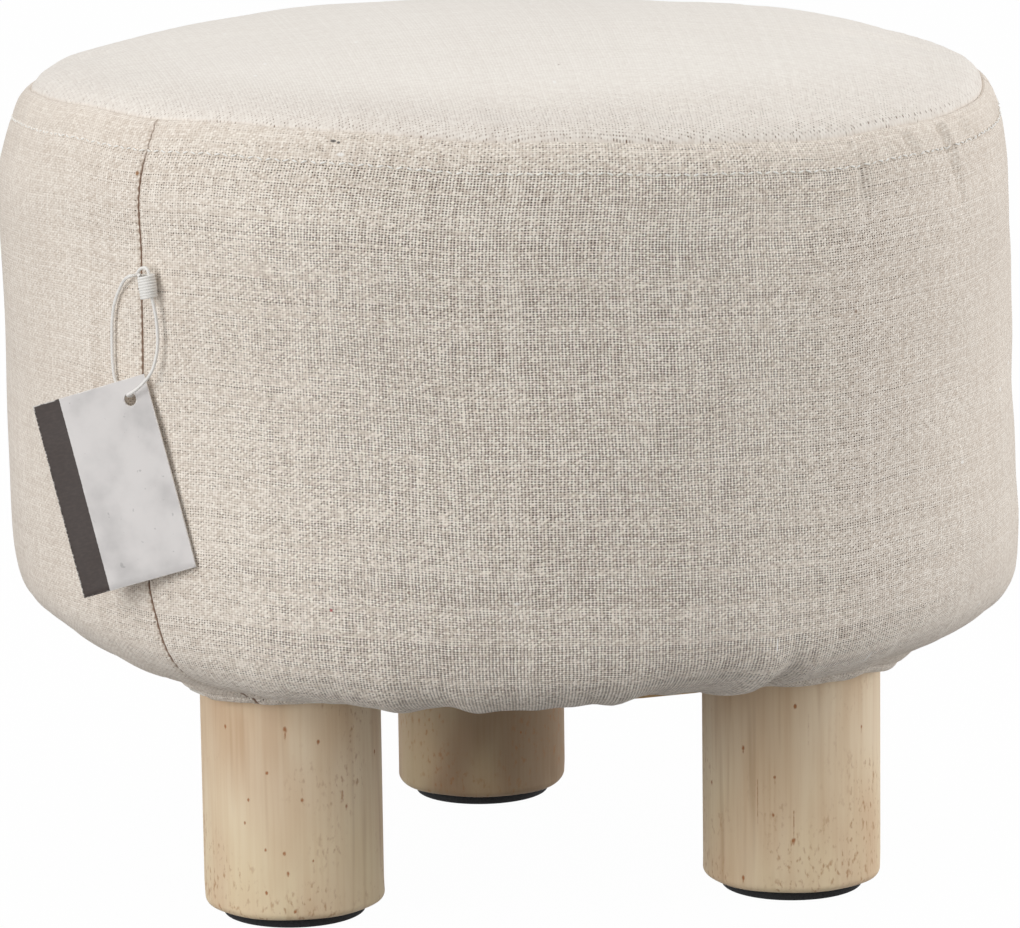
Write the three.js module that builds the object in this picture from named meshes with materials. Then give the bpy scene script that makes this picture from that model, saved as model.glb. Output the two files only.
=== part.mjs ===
// Round padded footstool: a drum of boards and battens on three turned wood legs, wrapped in
// foam and dressed in a removable linen cover with a gathered hem and a swing tag.
// Millimetres, +Z up. The origin is on the floor under the middle of the seat.

import * as THREE from 'three';

// Running and seating gaps
const seatGap = 0.3;
const clothGap = 0.45;
const channelGap = 0.85;

// Linen cover
const clothThickness = 1.0;
const cushionRadius = 150;
const shoulderReach = 9.6;
const seamHeight = 239;
const crownHeight = 18;
const shoulderDrop = 38;
const cornerRise = 42;
const cornerReach = 67;
const undersideHeight = 75;
const undersideSag = 1.2;
const seamAllowance = 7;
const seamAngles = [-142.5, -18, 97.5];
const sideSeamGap = 0.4;
const gathersPerPanel = 6;
const gatherDepth = 1.1;
const stepsPerPanel = 24;
const lathSteps = 60;

// Shares that shape the cover's profile curves
const crownPowerShare = 1.06;
const shoulderPowerShare = 1.22;
const cornerPowerShare = 0.42;
const crownAngleShares = [0, 0.28, 0.52, 0.72, 0.88];
const shoulderAngleShares = [0, 0.2, 0.4, 0.6, 0.8, 1];
const cornerAngleShares = [0, 0.11, 0.28, 0.5, 0.72, 0.89];

// Elastic and the channel that holds it
const elasticDiameter = 2.5;
const elasticSteps = 78;
const elasticSides = 6;
const elasticEndGap = 3;
const hemDrop = 3.4;
const hemLead = 6;
const channelAngles = [-15, -60, -105, -150, -195, -240, -290];

// Legs, pads and their fasteners
const legCount = 3;
const legDiameter = 53;
const legMargin = 11.1;
const legFirstAngle = -150;
const legEdgeRadius = 3;
const legTopChamfer = 1;
const padDiameter = 42;
const padThickness = 3;
const padChamfer = 0.6;
const boltDiameter = 8;
const boltDepthInLeg = 32;
const boltProud = 4;
const boltTip = 3;
const boltChamfer = 0.6;
const teeNutBarrelDiameter = 10;
const teeNutBarrelLength = 9;
const teeNutFlangeDiameter = 22;
const teeNutFlangeThickness = 1.5;
const legSegments = 32;
const fastenerSegments = 20;

// Drum
const sideFoamThickness = 26;
const topFoamDepth = 25;
const baseBoardThickness = 12;
const topBoardThickness = 9;
const drumWallThickness = 2.5;
const drumWallRaise = 3;
const dustCoverRim = 6.1;
const dustCoverThickness = 0.6;
const uprightCount = 6;
const uprightWidth = 30;
const uprightDepth = 20;
const uprightInset = 3;
const drumSegments = 48;
const holeSegments = 24;

// Swing tag on its elastic cord, placed from the point where the cord leaves the side seam
const tagExitDrop = 39.8;
const tagWidth = 36;
const tagLength = 56;
const tagThickness = 0.5;
const tagHoleDiameter = 3.7;
const tagHoleFromSide = 6.2;
const tagHoleFromTop = 5.8;
const tagHolePlace = [-1.3, 4.35, -34.9];
const tagYaw = 22.9;
const tagPitch = 6.2;
const tagLean = 17.9;
const cordDiameter = 0.95;
const cordSides = 8;
const cordSteps = 56;

// Barrel knot: the cord is wound round itself, stretched thin by the winding
const knotTurns = 7;
const knotDiameter = 5;
const wrapDiameter = 0.45;
const wrapGap = 0.43;
const wrapSides = 6;
const stepsPerWrap = 12;
const knotTop = [5.3, 3.25, 0.95];
const knotFoot = [6.3, 3.25, -5.25];

// The cord's route from the seam through the knot, the tag's hole and back to the seam.
// Each point is [right, out, up] from the exit, seen from outside.
const cordRoute = [
  [1.1, 0.4, 0], [1.1, 1.4, 0], [1.35, 2.5, 0.45], [2.1, 3.25, 1.5], [3.5, 3.3, 2.6],
  [5.1, 3.25, 2.9], [6.2, 3.25, 2.2], [6.52, 3.25, 0.9], [7, 3.25, -2.1], [7.5, 3.25, -5.2],
  [8.05, 3, -8.2], [8.5, 2.7, -11.8], [8.6, 2.5, -17.6], [8, 2.8, -22.2], [6.9, 3.6, -26.2],
  [5, 4.9, -29.3], [2.4, 6.3, -31.9], [0.3, 6.7, -33.1], [-0.85, 5.4, -33.7],
  [-1.65, 3.5, -33.95], [-2.9, 2.1, -34.2], [-5.4, 1.5, -34.3], [-8.4, 1.5, -33.5],
  [-10.6, 1.5, -31.2], [-11.5, 1.4, -27.4], [-11.7, 1.4, -21.4], [-11.4, 1.4, -14.6],
  [-10.3, 1.4, -9.3], [-8.1, 1.5, -5.1], [-5.4, 2.1, -2.2], [-3.1, 2.75, -0.7],
  [-1.6, 2.35, -0.1], [-1.1, 1.4, 0], [-1.1, 0.4, 0],
];

// Radii and heights that follow from the sizes above
const seamRadius = cushionRadius - shoulderReach;
const boardRadius = cushionRadius - sideFoamThickness;
const legRadius = legDiameter / 2;
const legCircleRadius = boardRadius - legMargin - legRadius;
const dustCoverRadius = legCircleRadius + legRadius + dustCoverRim;
const clothInside = undersideHeight + clothThickness;
const dustCoverUnderside = clothInside + undersideSag + seatGap;
const boardUnderside = dustCoverUnderside + dustCoverThickness + seatGap;
const baseBoardTop = boardUnderside + baseBoardThickness;
const topBoardFace = seamHeight - topFoamDepth;
const topBoardUnderside = topBoardFace - topBoardThickness;
const tagExitHeight = seamHeight - tagExitDrop;
const elasticRadius = elasticDiameter / 2;
const channelRadius = elasticRadius + channelGap + clothThickness;
const elasticHeight = undersideHeight - hemDrop;
const elasticLegRadius = legRadius + clothGap + channelRadius;
const legSpread = THREE.MathUtils.degToRad(360 / legCount);

const materials = {
  linen: finish(0xe0d6c8, 0.92, 0),
  foam: finish(0xe9e2c4, 0.95, 0),
  plywood: finish(0xc9a877, 0.75, 0),
  fibreboard: finish(0xa88a63, 0.85, 0),
  pine: finish(0xd9bd97, 0.6, 0),
  nonwoven: finish(0x2a2928, 0.95, 0),
  steel: finish(0xb9bcc0, 0.35, 1),
  felt: finish(0x17161a, 0.9, 0),
  elastic: finish(0xf2efe9, 0.8, 0),
  card: finish(0xcfcbc8, 0.7, 0),
};

function finish(color, roughness, metalness) {
  return new THREE.MeshStandardMaterial({ color, roughness, metalness });
}

function radians(degrees) {
  return THREE.MathUtils.degToRad(degrees);
}

function addMesh(parent, name, geometry, material) {
  const mesh = new THREE.Mesh(geometry, material);
  mesh.name = name;
  parent.add(mesh);
  return mesh;
}

// A solid of revolution about +Z from [radius, height] points that run up the outside
function revolve(profile, segments) {
  const points = profile.map(([radius, height]) => new THREE.Vector2(radius, height));
  const geometry = new THREE.LatheGeometry(points, segments);
  geometry.rotateX(Math.PI / 2);
  return geometry;
}

// Moves a path of [radius, height] points to its right by a distance, with mitred corners
function offsetPath(path, distance) {
  const normals = path.slice(1).map(([radius, height], i) => {
    const along = new THREE.Vector2(radius - path[i][0], height - path[i][1]).normalize();
    return new THREE.Vector2(along.y, -along.x);
  });
  return path.map(([radius, height], i) => {
    const before = normals[Math.max(i - 1, 0)];
    const after = normals[Math.min(i, normals.length - 1)];
    const mitre = before.clone().add(after).divideScalar(1 + before.dot(after));
    return [radius + distance * mitre.x, height + distance * mitre.y];
  });
}

// The outside of the crown, from the middle of the seat to just inside the seam
function crownPath() {
  return crownAngleShares.map((share) => {
    const angle = share * Math.PI / 2;
    const radius = seamRadius * Math.sin(angle) ** crownPowerShare;
    return [radius, seamHeight + crownHeight * Math.cos(angle) ** crownPowerShare];
  });
}

// The outside of the side, from the seam down over the shoulder and round the lower corner
function sidePath() {
  const shoulder = shoulderAngleShares.map((share) => {
    const angle = share * Math.PI / 2;
    const bulge = shoulderReach * Math.sin(angle) ** shoulderPowerShare;
    return [seamRadius + bulge, seamHeight - seatGap - shoulderDrop * (1 - Math.cos(angle))];
  });
  const corner = cornerAngleShares.map((share) => {
    const angle = share * Math.PI / 2;
    const reach = cornerReach * Math.cos(angle) ** cornerPowerShare;
    const rise = cornerRise * (1 - Math.sin(angle) ** cornerPowerShare);
    return [cushionRadius - cornerReach + reach, undersideHeight + rise];
  });
  return [...shoulder, ...corner];
}

// Angle from the direction of the nearest leg, between minus and plus half a leg spread
function angleFromLeg(angle) {
  const turned = angle - radians(legFirstAngle) + legSpread / 2;
  return THREE.MathUtils.euclideanModulo(turned, legSpread) - legSpread / 2;
}

// The taut loop round the three legs, as a radius for each angle: straight between two legs
// and an arc round the outside of each one
function hemRadius(angle) {
  const fromLeg = Math.abs(angleFromLeg(angle));
  const halfSpread = legSpread / 2;
  const arcEnd = Math.atan2(
    elasticLegRadius * Math.sin(halfSpread),
    legCircleRadius + elasticLegRadius * Math.cos(halfSpread),
  );
  if (fromLeg > arcEnd) {
    const reach = legCircleRadius * Math.cos(halfSpread) + elasticLegRadius;
    return reach / Math.cos(halfSpread - fromLeg);
  }
  const across = legCircleRadius * Math.sin(fromLeg);
  return legCircleRadius * Math.cos(fromLeg) + Math.sqrt(elasticLegRadius ** 2 - across ** 2);
}

// How much wider the loop's section is in a plane through the axis than square to the loop
function hemStretch(angle) {
  const nudge = radians(0.5);
  const slope = (hemRadius(angle + nudge) - hemRadius(angle - nudge)) / (2 * nudge);
  return Math.hypot(1, slope / hemRadius(angle));
}

// Each panel's gathers: full depth in a fold and nothing between two folds
function gatherWave(angle) {
  const panel = panels.find(({ start, end }) => angle >= start && angle <= end) ?? panels[0];
  const share = (angle - panel.start) / (panel.end - panel.start);
  return (1 - Math.cos(2 * Math.PI * gathersPerPanel * share)) / 2;
}

const panels = seamAngles.map((seamAngle, i) => {
  const next = seamAngles[(i + 1) % seamAngles.length];
  const turn = THREE.MathUtils.euclideanModulo(next - seamAngle, 360);
  return { start: radians(seamAngle), end: radians(seamAngle + turn) };
});

// One panel's outside at one angle: turned-in allowance, side, underside and elastic channel
function panelSection(angle) {
  const topEdge = seamHeight - seatGap;
  const loopRadius = hemRadius(angle);
  const stretch = hemStretch(angle);
  const wave = gatherWave(angle);
  const side = sidePath().map(([radius, height]) => {
    const low = Math.max(0, 1 - (height - undersideHeight) / cornerRise);
    return [radius + gatherDepth * wave * low * (1 - low), height - gatherDepth * wave * low ** 2];
  });
  const lead = loopRadius + channelRadius * stretch + hemLead;
  const kept = side.filter(([radius]) => radius > lead + clothThickness);
  const channel = channelAngles.map((degrees) => [
    loopRadius + channelRadius * stretch * Math.cos(radians(degrees)),
    elasticHeight - gatherDepth * wave + channelRadius * Math.sin(radians(degrees)),
  ]);
  const spare = side.length - kept.length;
  const last = kept[kept.length - 1];
  const run = Array.from({ length: spare }, (_, i) => {
    const share = (i + 1) / (spare + 1);
    return [
      THREE.MathUtils.lerp(last[0], lead, share),
      THREE.MathUtils.lerp(last[1], undersideHeight - gatherDepth * wave, share),
    ];
  });
  return [
    [seamRadius - seamAllowance, topEdge],
    ...kept,
    ...run,
    [lead, undersideHeight - gatherDepth * wave],
    ...channel,
  ];
}

// A cloth shell: the outside at each angle, its inside one cloth thickness in, and closed ends
function clothShell(start, end, steps) {
  const margin = sideSeamGap / (2 * cushionRadius);
  const positions = [];
  let rows = 0;
  for (let step = 0; step <= steps; step += 1) {
    const angle = THREE.MathUtils.lerp(start, end, step / steps);
    const place = THREE.MathUtils.clamp(angle, start + margin, end - margin);
    const outside = panelSection(angle);
    const loop = [...outside, ...offsetPath(outside, clothThickness).reverse()];
    rows = loop.length;
    for (const [radius, height] of loop) {
      positions.push(radius * Math.cos(place), radius * Math.sin(place), height);
    }
  }
  const faces = [];
  for (let step = 0; step < steps; step += 1) {
    for (let row = 0; row < rows; row += 1) {
      const next = (row + 1) % rows;
      const a = step * rows + row;
      const b = step * rows + next;
      faces.push(a, b, a + rows, b, b + rows, a + rows);
    }
  }
  const lastRow = steps * rows;
  for (let row = 0; row < rows / 2 - 1; row += 1) {
    const opposite = rows - 1 - row;
    faces.push(row, opposite, row + 1, row + 1, opposite, opposite - 1);
    const [a, b] = [lastRow + row, lastRow + opposite];
    faces.push(a, a + 1, b, a + 1, b - 1, b);
  }
  const geometry = new THREE.BufferGeometry();
  geometry.setAttribute('position', new THREE.Float32BufferAttribute(positions, 3));
  geometry.setIndex(faces);
  return geometry;
}

// A round bar along a curve
function bar(curve, diameter, sides, steps) {
  const section = new THREE.Shape(circlePoints(0, 0, diameter / 2, sides));
  return new THREE.ExtrudeGeometry(section, { steps, extrudePath: curve, bevelEnabled: false });
}

function circlePoints(x, y, radius, segments) {
  return Array.from({ length: segments }, (_, i) => {
    const angle = 2 * Math.PI * i / segments;
    return new THREE.Vector2(x + radius * Math.cos(angle), y + radius * Math.sin(angle));
  });
}

// A round plate on its underside height, with round holes at [x, y, radius]
function plate(radius, thickness, underside, holes) {
  const outline = new THREE.Shape(circlePoints(0, 0, radius, drumSegments));
  for (const [x, y, holeRadius] of holes) {
    outline.holes.push(new THREE.Path(circlePoints(x, y, holeRadius, holeSegments)));
  }
  const geometry = new THREE.ExtrudeGeometry(outline, { depth: thickness, bevelEnabled: false });
  geometry.translate(0, 0, underside);
  return geometry;
}

function legAngle(index) {
  return radians(legFirstAngle) + index * legSpread;
}

function legPlaces() {
  return Array.from({ length: legCount }, (_, i) => [
    legCircleRadius * Math.cos(legAngle(i)),
    legCircleRadius * Math.sin(legAngle(i)),
  ]);
}

function addCover(stool) {
  const crown = crownPath();
  const lining = offsetPath(crown, clothThickness);
  const foldTop = seamHeight + clothThickness;
  const inside = lining.filter(([, height]) => height > foldTop + clothThickness);
  const profile = [
    [0, seamHeight + crownHeight - clothThickness],
    ...inside.slice(1),
    [seamRadius - clothThickness, foldTop + clothThickness],
    [seamRadius - 2 * clothThickness, foldTop],
    [seamRadius - seamAllowance, foldTop],
    [seamRadius - seamAllowance, seamHeight],
    [seamRadius, seamHeight],
    ...crown.slice(1).reverse(),
    [0, seamHeight + crownHeight],
  ];
  addMesh(stool, 'cover_top', revolve(profile, lathSteps), materials.linen);
  panels.forEach(({ start, end }, i) => {
    const shell = clothShell(start, end, stepsPerPanel);
    addMesh(stool, `cover_side_${i + 1}`, shell, materials.linen);
  });
}

function addElastic(stool) {
  const start = radians(legFirstAngle) + legSpread / 2;
  const gap = elasticEndGap / hemRadius(start);
  const turn = 2 * Math.PI - gap;
  const points = Array.from({ length: elasticSteps + 1 }, (_, i) => {
    const angle = start + gap / 2 + turn * i / elasticSteps;
    const radius = hemRadius(angle);
    const height = elasticHeight - gatherDepth * gatherWave(wrapToPanels(angle));
    return new THREE.Vector3(radius * Math.cos(angle), radius * Math.sin(angle), height);
  });
  const curve = new THREE.CatmullRomCurve3(points);
  const geometry = bar(curve, elasticDiameter, elasticSides, elasticSteps);
  addMesh(stool, 'hem_elastic', geometry, materials.elastic);
}

function wrapToPanels(angle) {
  const first = panels[0].start;
  return first + THREE.MathUtils.euclideanModulo(angle - first, 2 * Math.PI);
}

function addFoam(stool) {
  const inset = clothThickness + clothGap;
  const crown = offsetPath(crownPath(), inset);
  const side = offsetPath(sidePath(), inset);
  const notchRadius = seamRadius - seamAllowance - clothGap;
  const notchTop = seamHeight + clothThickness + clothGap;
  const notchFoot = seamHeight - seatGap - clothThickness - clothGap;
  const topFoot = topBoardFace + seatGap;
  const shoulder = side.filter(([, height]) => height > topFoot && height < notchFoot);
  const footRadius = radiusAt(side, topFoot);
  const notchRim = radiusAt(side, notchFoot);
  const topProfile = [
    [0, topFoot],
    [footRadius, topFoot],
    ...shoulder.reverse(),
    [notchRim, notchFoot],
    [notchRadius, notchFoot],
    [notchRadius, notchTop],
    ...crown.slice(1).filter(([, height]) => height > notchTop + 2 * clothThickness).reverse(),
    [0, seamHeight + crownHeight - inset],
  ];
  addMesh(stool, 'top_foam', revolve(topProfile, drumSegments), materials.foam);

  const wallOutside = boardRadius + seatGap + drumWallThickness + seatGap;
  const sideTop = topBoardFace - clothGap;
  const sideFoot = boardUnderside + drumWallRaise;
  const band = side.filter(([, height]) => height < sideTop && height > sideFoot + clothGap);
  const sideProfile = [
    [wallOutside, sideFoot],
    [radiusAt(side, sideFoot), sideFoot],
    ...band.reverse(),
    [radiusAt(side, sideTop), sideTop],
    [wallOutside, sideTop],
    [wallOutside, sideFoot],
  ];
  addMesh(stool, 'side_foam', revolve(sideProfile, drumSegments), materials.foam);
}

// The radius of a downward path at a height
function radiusAt(path, height) {
  const lower = path.findIndex(([, pathHeight]) => pathHeight <= height);
  const [upperRadius, upperHeight] = path[lower - 1];
  const [lowerRadius, lowerHeight] = path[lower];
  const share = (upperHeight - height) / (upperHeight - lowerHeight);
  return THREE.MathUtils.lerp(upperRadius, lowerRadius, share);
}

function addDrum(stool) {
  const barrelHole = teeNutBarrelDiameter / 2 + seatGap;
  const boltHoles = legPlaces().map(([x, y]) => [x, y, barrelHole]);
  const base = plate(boardRadius, baseBoardThickness, boardUnderside, boltHoles);
  addMesh(stool, 'base_board', base, materials.plywood);
  const top = plate(boardRadius, topBoardThickness, topBoardUnderside, []);
  addMesh(stool, 'top_board', top, materials.plywood);

  const wallInside = boardRadius + seatGap;
  const wallOutside = wallInside + drumWallThickness;
  const wallFoot = boardUnderside + drumWallRaise;
  const wall = [
    [wallInside, wallFoot],
    [wallOutside, wallFoot],
    [wallOutside, topBoardFace],
    [wallInside, topBoardFace],
    [wallInside, wallFoot],
  ];
  addMesh(stool, 'drum_wall', revolve(wall, drumSegments), materials.fibreboard);

  const uprightHeight = topBoardUnderside - baseBoardTop - 2 * seatGap;
  const uprightPlace = boardRadius - uprightInset - uprightDepth / 2;
  for (let i = 0; i < uprightCount; i += 1) {
    const angle = legAngle(0) + legSpread / 4 + i * 2 * Math.PI / uprightCount;
    const block = new THREE.BoxGeometry(uprightDepth, uprightWidth, uprightHeight);
    const upright = addMesh(stool, `upright_${i + 1}`, block, materials.pine);
    const middle = baseBoardTop + seatGap + uprightHeight / 2;
    upright.position.set(uprightPlace * Math.cos(angle), uprightPlace * Math.sin(angle), middle);
    upright.rotation.z = angle;
  }

  const legHoles = legPlaces().map(([x, y]) => [x, y, legRadius + seatGap]);
  const dust = plate(dustCoverRadius, dustCoverThickness, dustCoverUnderside, legHoles);
  addMesh(stool, 'dust_cover', dust, materials.nonwoven);
}

function legProfile() {
  const foot = padThickness + seatGap;
  const top = boardUnderside - seatGap;
  const bore = boltDiameter / 2 + seatGap;
  const boreFoot = top - boltDepthInLeg - seatGap;
  const quarter = radians(45);
  const roundIn = legEdgeRadius * (1 - Math.cos(quarter));
  return [
    [0, foot],
    [legRadius - legEdgeRadius, foot],
    [legRadius - roundIn, foot + roundIn],
    [legRadius, foot + legEdgeRadius],
    [legRadius, top - legTopChamfer],
    [legRadius - legTopChamfer, top],
    [bore, top],
    [bore, boreFoot],
    [0, boreFoot],
  ];
}

function padProfile() {
  const radius = padDiameter / 2;
  return [
    [0, 0],
    [radius - padChamfer, 0],
    [radius, padChamfer],
    [radius, padThickness],
    [0, padThickness],
  ];
}

function boltProfile() {
  const radius = boltDiameter / 2;
  const foot = boardUnderside - seatGap - boltDepthInLeg;
  const top = baseBoardTop + seatGap + teeNutFlangeThickness + boltProud;
  return [
    [0, foot],
    [radius / 2, foot + boltTip / 2],
    [radius, foot + boltTip],
    [radius, top - boltChamfer],
    [radius - boltChamfer, top],
    [0, top],
  ];
}

function teeNutProfile() {
  const bore = boltDiameter / 2 + seatGap;
  const barrel = teeNutBarrelDiameter / 2;
  const seat = baseBoardTop + seatGap;
  return [
    [bore, seat - teeNutBarrelLength],
    [barrel, seat - teeNutBarrelLength],
    [barrel, seat],
    [teeNutFlangeDiameter / 2, seat],
    [teeNutFlangeDiameter / 2, seat + teeNutFlangeThickness],
    [bore, seat + teeNutFlangeThickness],
    [bore, seat - teeNutBarrelLength],
  ];
}

function addLegs(stool) {
  legPlaces().forEach(([x, y], i) => {
    const set = new THREE.Group();
    set.position.set(x, y, 0);
    stool.add(set);
    addMesh(set, `leg_${i + 1}`, revolve(legProfile(), legSegments), materials.pine);
    addMesh(set, `foot_pad_${i + 1}`, revolve(padProfile(), legSegments), materials.felt);
    addMesh(set, `hanger_bolt_${i + 1}`, revolve(boltProfile(), fastenerSegments), materials.steel);
    addMesh(set, `tee_nut_${i + 1}`, revolve(teeNutProfile(), fastenerSegments), materials.steel);
  });
}

// A point given as [right, out, up] from the cord's exit
function fromExit([right, out, up]) {
  return new THREE.Vector3(right, -out, up);
}

// The winding's centreline: a helix with one straight cord diameter at each end
function knotPoints() {
  const radius = (knotDiameter - wrapDiameter) / 2;
  const pitch = wrapDiameter + wrapGap;
  const count = knotTurns * stepsPerWrap;
  const points = Array.from({ length: count + 1 }, (_, i) => {
    const angle = 2 * Math.PI * i / stepsPerWrap;
    const along = pitch * (i / stepsPerWrap - knotTurns / 2);
    return new THREE.Vector3(radius * Math.cos(angle), radius * Math.sin(angle), along);
  });
  const first = new THREE.Vector3(0, -wrapDiameter, 0).add(points[0]);
  const last = new THREE.Vector3(0, wrapDiameter, 0).add(points[count]);
  return [first, ...points, last];
}

// The least gap between two turns of the winding, measured between its centreline points
function leastWindingGap(points) {
  let least = Infinity;
  points.forEach((point, i) => {
    for (let j = i + Math.ceil(stepsPerWrap / 2); j < points.length; j += 1) {
      least = Math.min(least, point.distanceTo(points[j]) - wrapDiameter);
    }
  });
  return least;
}

function tagOutline() {
  const left = tagHoleFromSide - tagWidth;
  const foot = tagHoleFromTop - tagLength;
  const outline = new THREE.Shape();
  outline.moveTo(left, foot);
  outline.lineTo(tagHoleFromSide, foot);
  outline.lineTo(tagHoleFromSide, tagHoleFromTop);
  outline.lineTo(left, tagHoleFromTop);
  outline.closePath();
  outline.holes.push(new THREE.Path(circlePoints(0, 0, tagHoleDiameter / 2, holeSegments)));
  return outline;
}

function addTag(stool) {
  const seam = radians(seamAngles[0]);
  const tag = new THREE.Group();
  tag.position.set(cushionRadius * Math.cos(seam), cushionRadius * Math.sin(seam), tagExitHeight);
  tag.rotation.z = seam + Math.PI / 2;
  stool.add(tag);

  const route = new THREE.CatmullRomCurve3(cordRoute.map(fromExit));
  addMesh(tag, 'tag_cord', bar(route, cordDiameter, cordSides, cordSteps), materials.elastic);

  const points = knotPoints();
  console.log(`least gap in the knot: ${leastWindingGap(points).toFixed(3)} mm`);
  const winding = bar(
    new THREE.CatmullRomCurve3(points), wrapDiameter, wrapSides, points.length - 1,
  );
  const knot = addMesh(tag, 'tag_knot', winding, materials.elastic);
  const axis = fromExit(knotTop).sub(fromExit(knotFoot)).normalize();
  knot.quaternion.setFromUnitVectors(new THREE.Vector3(0, 0, 1), axis);
  knot.position.copy(fromExit(knotTop).add(fromExit(knotFoot)).multiplyScalar(0.5));

  const turned = new THREE.Group();
  turned.position.copy(fromExit(tagHolePlace));
  turned.rotation.z = radians(tagYaw);
  tag.add(turned);
  const settings = { depth: tagThickness, bevelEnabled: false };
  const card = new THREE.ExtrudeGeometry(tagOutline(), settings);
  card.translate(0, 0, -tagThickness / 2);
  const mesh = addMesh(turned, 'tag_card', card, materials.card);
  mesh.rotation.set(Math.PI / 2 - radians(tagPitch), 0, radians(tagLean));
}

const stool = new THREE.Group();
addLegs(stool);
addDrum(stool);
addFoam(stool);
addCover(stool);
addElastic(stool);
addTag(stool);

export default stool;
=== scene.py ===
import logging
import math
from dataclasses import dataclass, field
from enum import Enum
from typing import Callable, Optional, Sequence, Union

import bpy
import numpy as np
from mathutils import Matrix, Vector
from mathutils.kdtree import KDTree


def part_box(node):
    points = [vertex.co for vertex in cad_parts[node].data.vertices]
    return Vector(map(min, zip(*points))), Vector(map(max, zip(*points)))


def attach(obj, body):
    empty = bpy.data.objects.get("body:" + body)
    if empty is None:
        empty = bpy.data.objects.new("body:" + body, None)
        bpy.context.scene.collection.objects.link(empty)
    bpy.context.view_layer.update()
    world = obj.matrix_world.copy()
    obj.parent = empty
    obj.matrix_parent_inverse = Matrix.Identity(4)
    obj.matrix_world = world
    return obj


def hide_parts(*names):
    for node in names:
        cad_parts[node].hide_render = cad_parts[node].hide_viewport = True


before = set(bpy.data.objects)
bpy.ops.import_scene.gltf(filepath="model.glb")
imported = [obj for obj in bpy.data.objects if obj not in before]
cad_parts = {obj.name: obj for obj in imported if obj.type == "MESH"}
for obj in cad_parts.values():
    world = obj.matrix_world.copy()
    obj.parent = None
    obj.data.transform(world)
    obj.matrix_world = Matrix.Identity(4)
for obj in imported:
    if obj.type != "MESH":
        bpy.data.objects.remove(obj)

LOG = logging.getLogger("footstool")
MM = 0.001
Number = Union[float, "Signal"]
Colour = tuple[float, float, float]
Array, Piece, Material = np.ndarray, bpy.types.Object, bpy.types.Material
Node, Socket = bpy.types.Node, bpy.types.NodeSocket
WHITE: Colour = (1.0, 1.0, 1.0)
UP = np.array([0.0, 0.0, 1.0])
TINY = 1e-9


class Body(str, Enum):
    """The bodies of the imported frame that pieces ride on."""

    STOOL = "stool"
    STRING = "tag_string"
    CARD = "tag"


class Slot(str, Enum):
    """The record's material slots."""

    LINEN = "linen"
    FOAM = "foam"
    PINE = "pine"
    FELT = "felt"
    ELASTIC = "elastic"
    CARD = "card"


def smooth(low: float, high: float, value: Array) -> Array:
    """A smooth step from 0 at low to 1 at high: 3 s^2 - 2 s^3 of the clamped share s.

    Args:
        low: where the step starts.
        high: where the step ends; it may lie below low.
        value: the values to step.

    Returns:
        The steps, from 0 to 1.
    """
    share = np.clip((value - low) / (high - low), 0.0, 1.0)
    return share * share * (3.0 - 2.0 * share)


def bell(distance: Array, width: float) -> Array:
    """A bell curve exp(-(distance / width)^2)."""
    return np.exp(-((distance / width) ** 2))


def turned(angle: Array, degrees: float) -> Array:
    """The signed angle from a direction in degrees, from -pi to pi."""
    return (angle - math.radians(degrees) + math.pi) % math.tau - math.pi


def lobe(angle: Array, degrees: float, width: float) -> Array:
    """A bell curve round a direction, with its width in degrees too."""
    return bell(turned(angle, degrees), math.radians(width))


def lobes(angle: Array, table: Sequence[tuple[float, float, float]]) -> Array:
    """A sum of bell curves round directions, each given as direction, width and size."""
    return sum(size * lobe(angle, degrees, width) for degrees, width, size in table)


def waves(angle: Array, table: Sequence[tuple[float, float, float]]) -> Array:
    """A sum of cosines of an angle, each given as size, count and phase."""
    return sum(size * np.cos(count * angle + phase) for size, count, phase in table)


def unit(vectors: Array) -> Array:
    """The vectors at length 1."""
    return vectors / np.maximum(np.linalg.norm(vectors, axis=-1, keepdims=True), 1e-12)


def srgb(red: int, green: int, blue: int) -> Colour:
    """A colour in the linear values that shaders take, from 0 to 255 display values."""
    shares = np.array([red, green, blue]) / 255.0
    linear = np.where(shares <= 0.04045, shares / 12.92, ((shares + 0.055) / 1.055) ** 2.4)
    return tuple(float(value) for value in linear)


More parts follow.
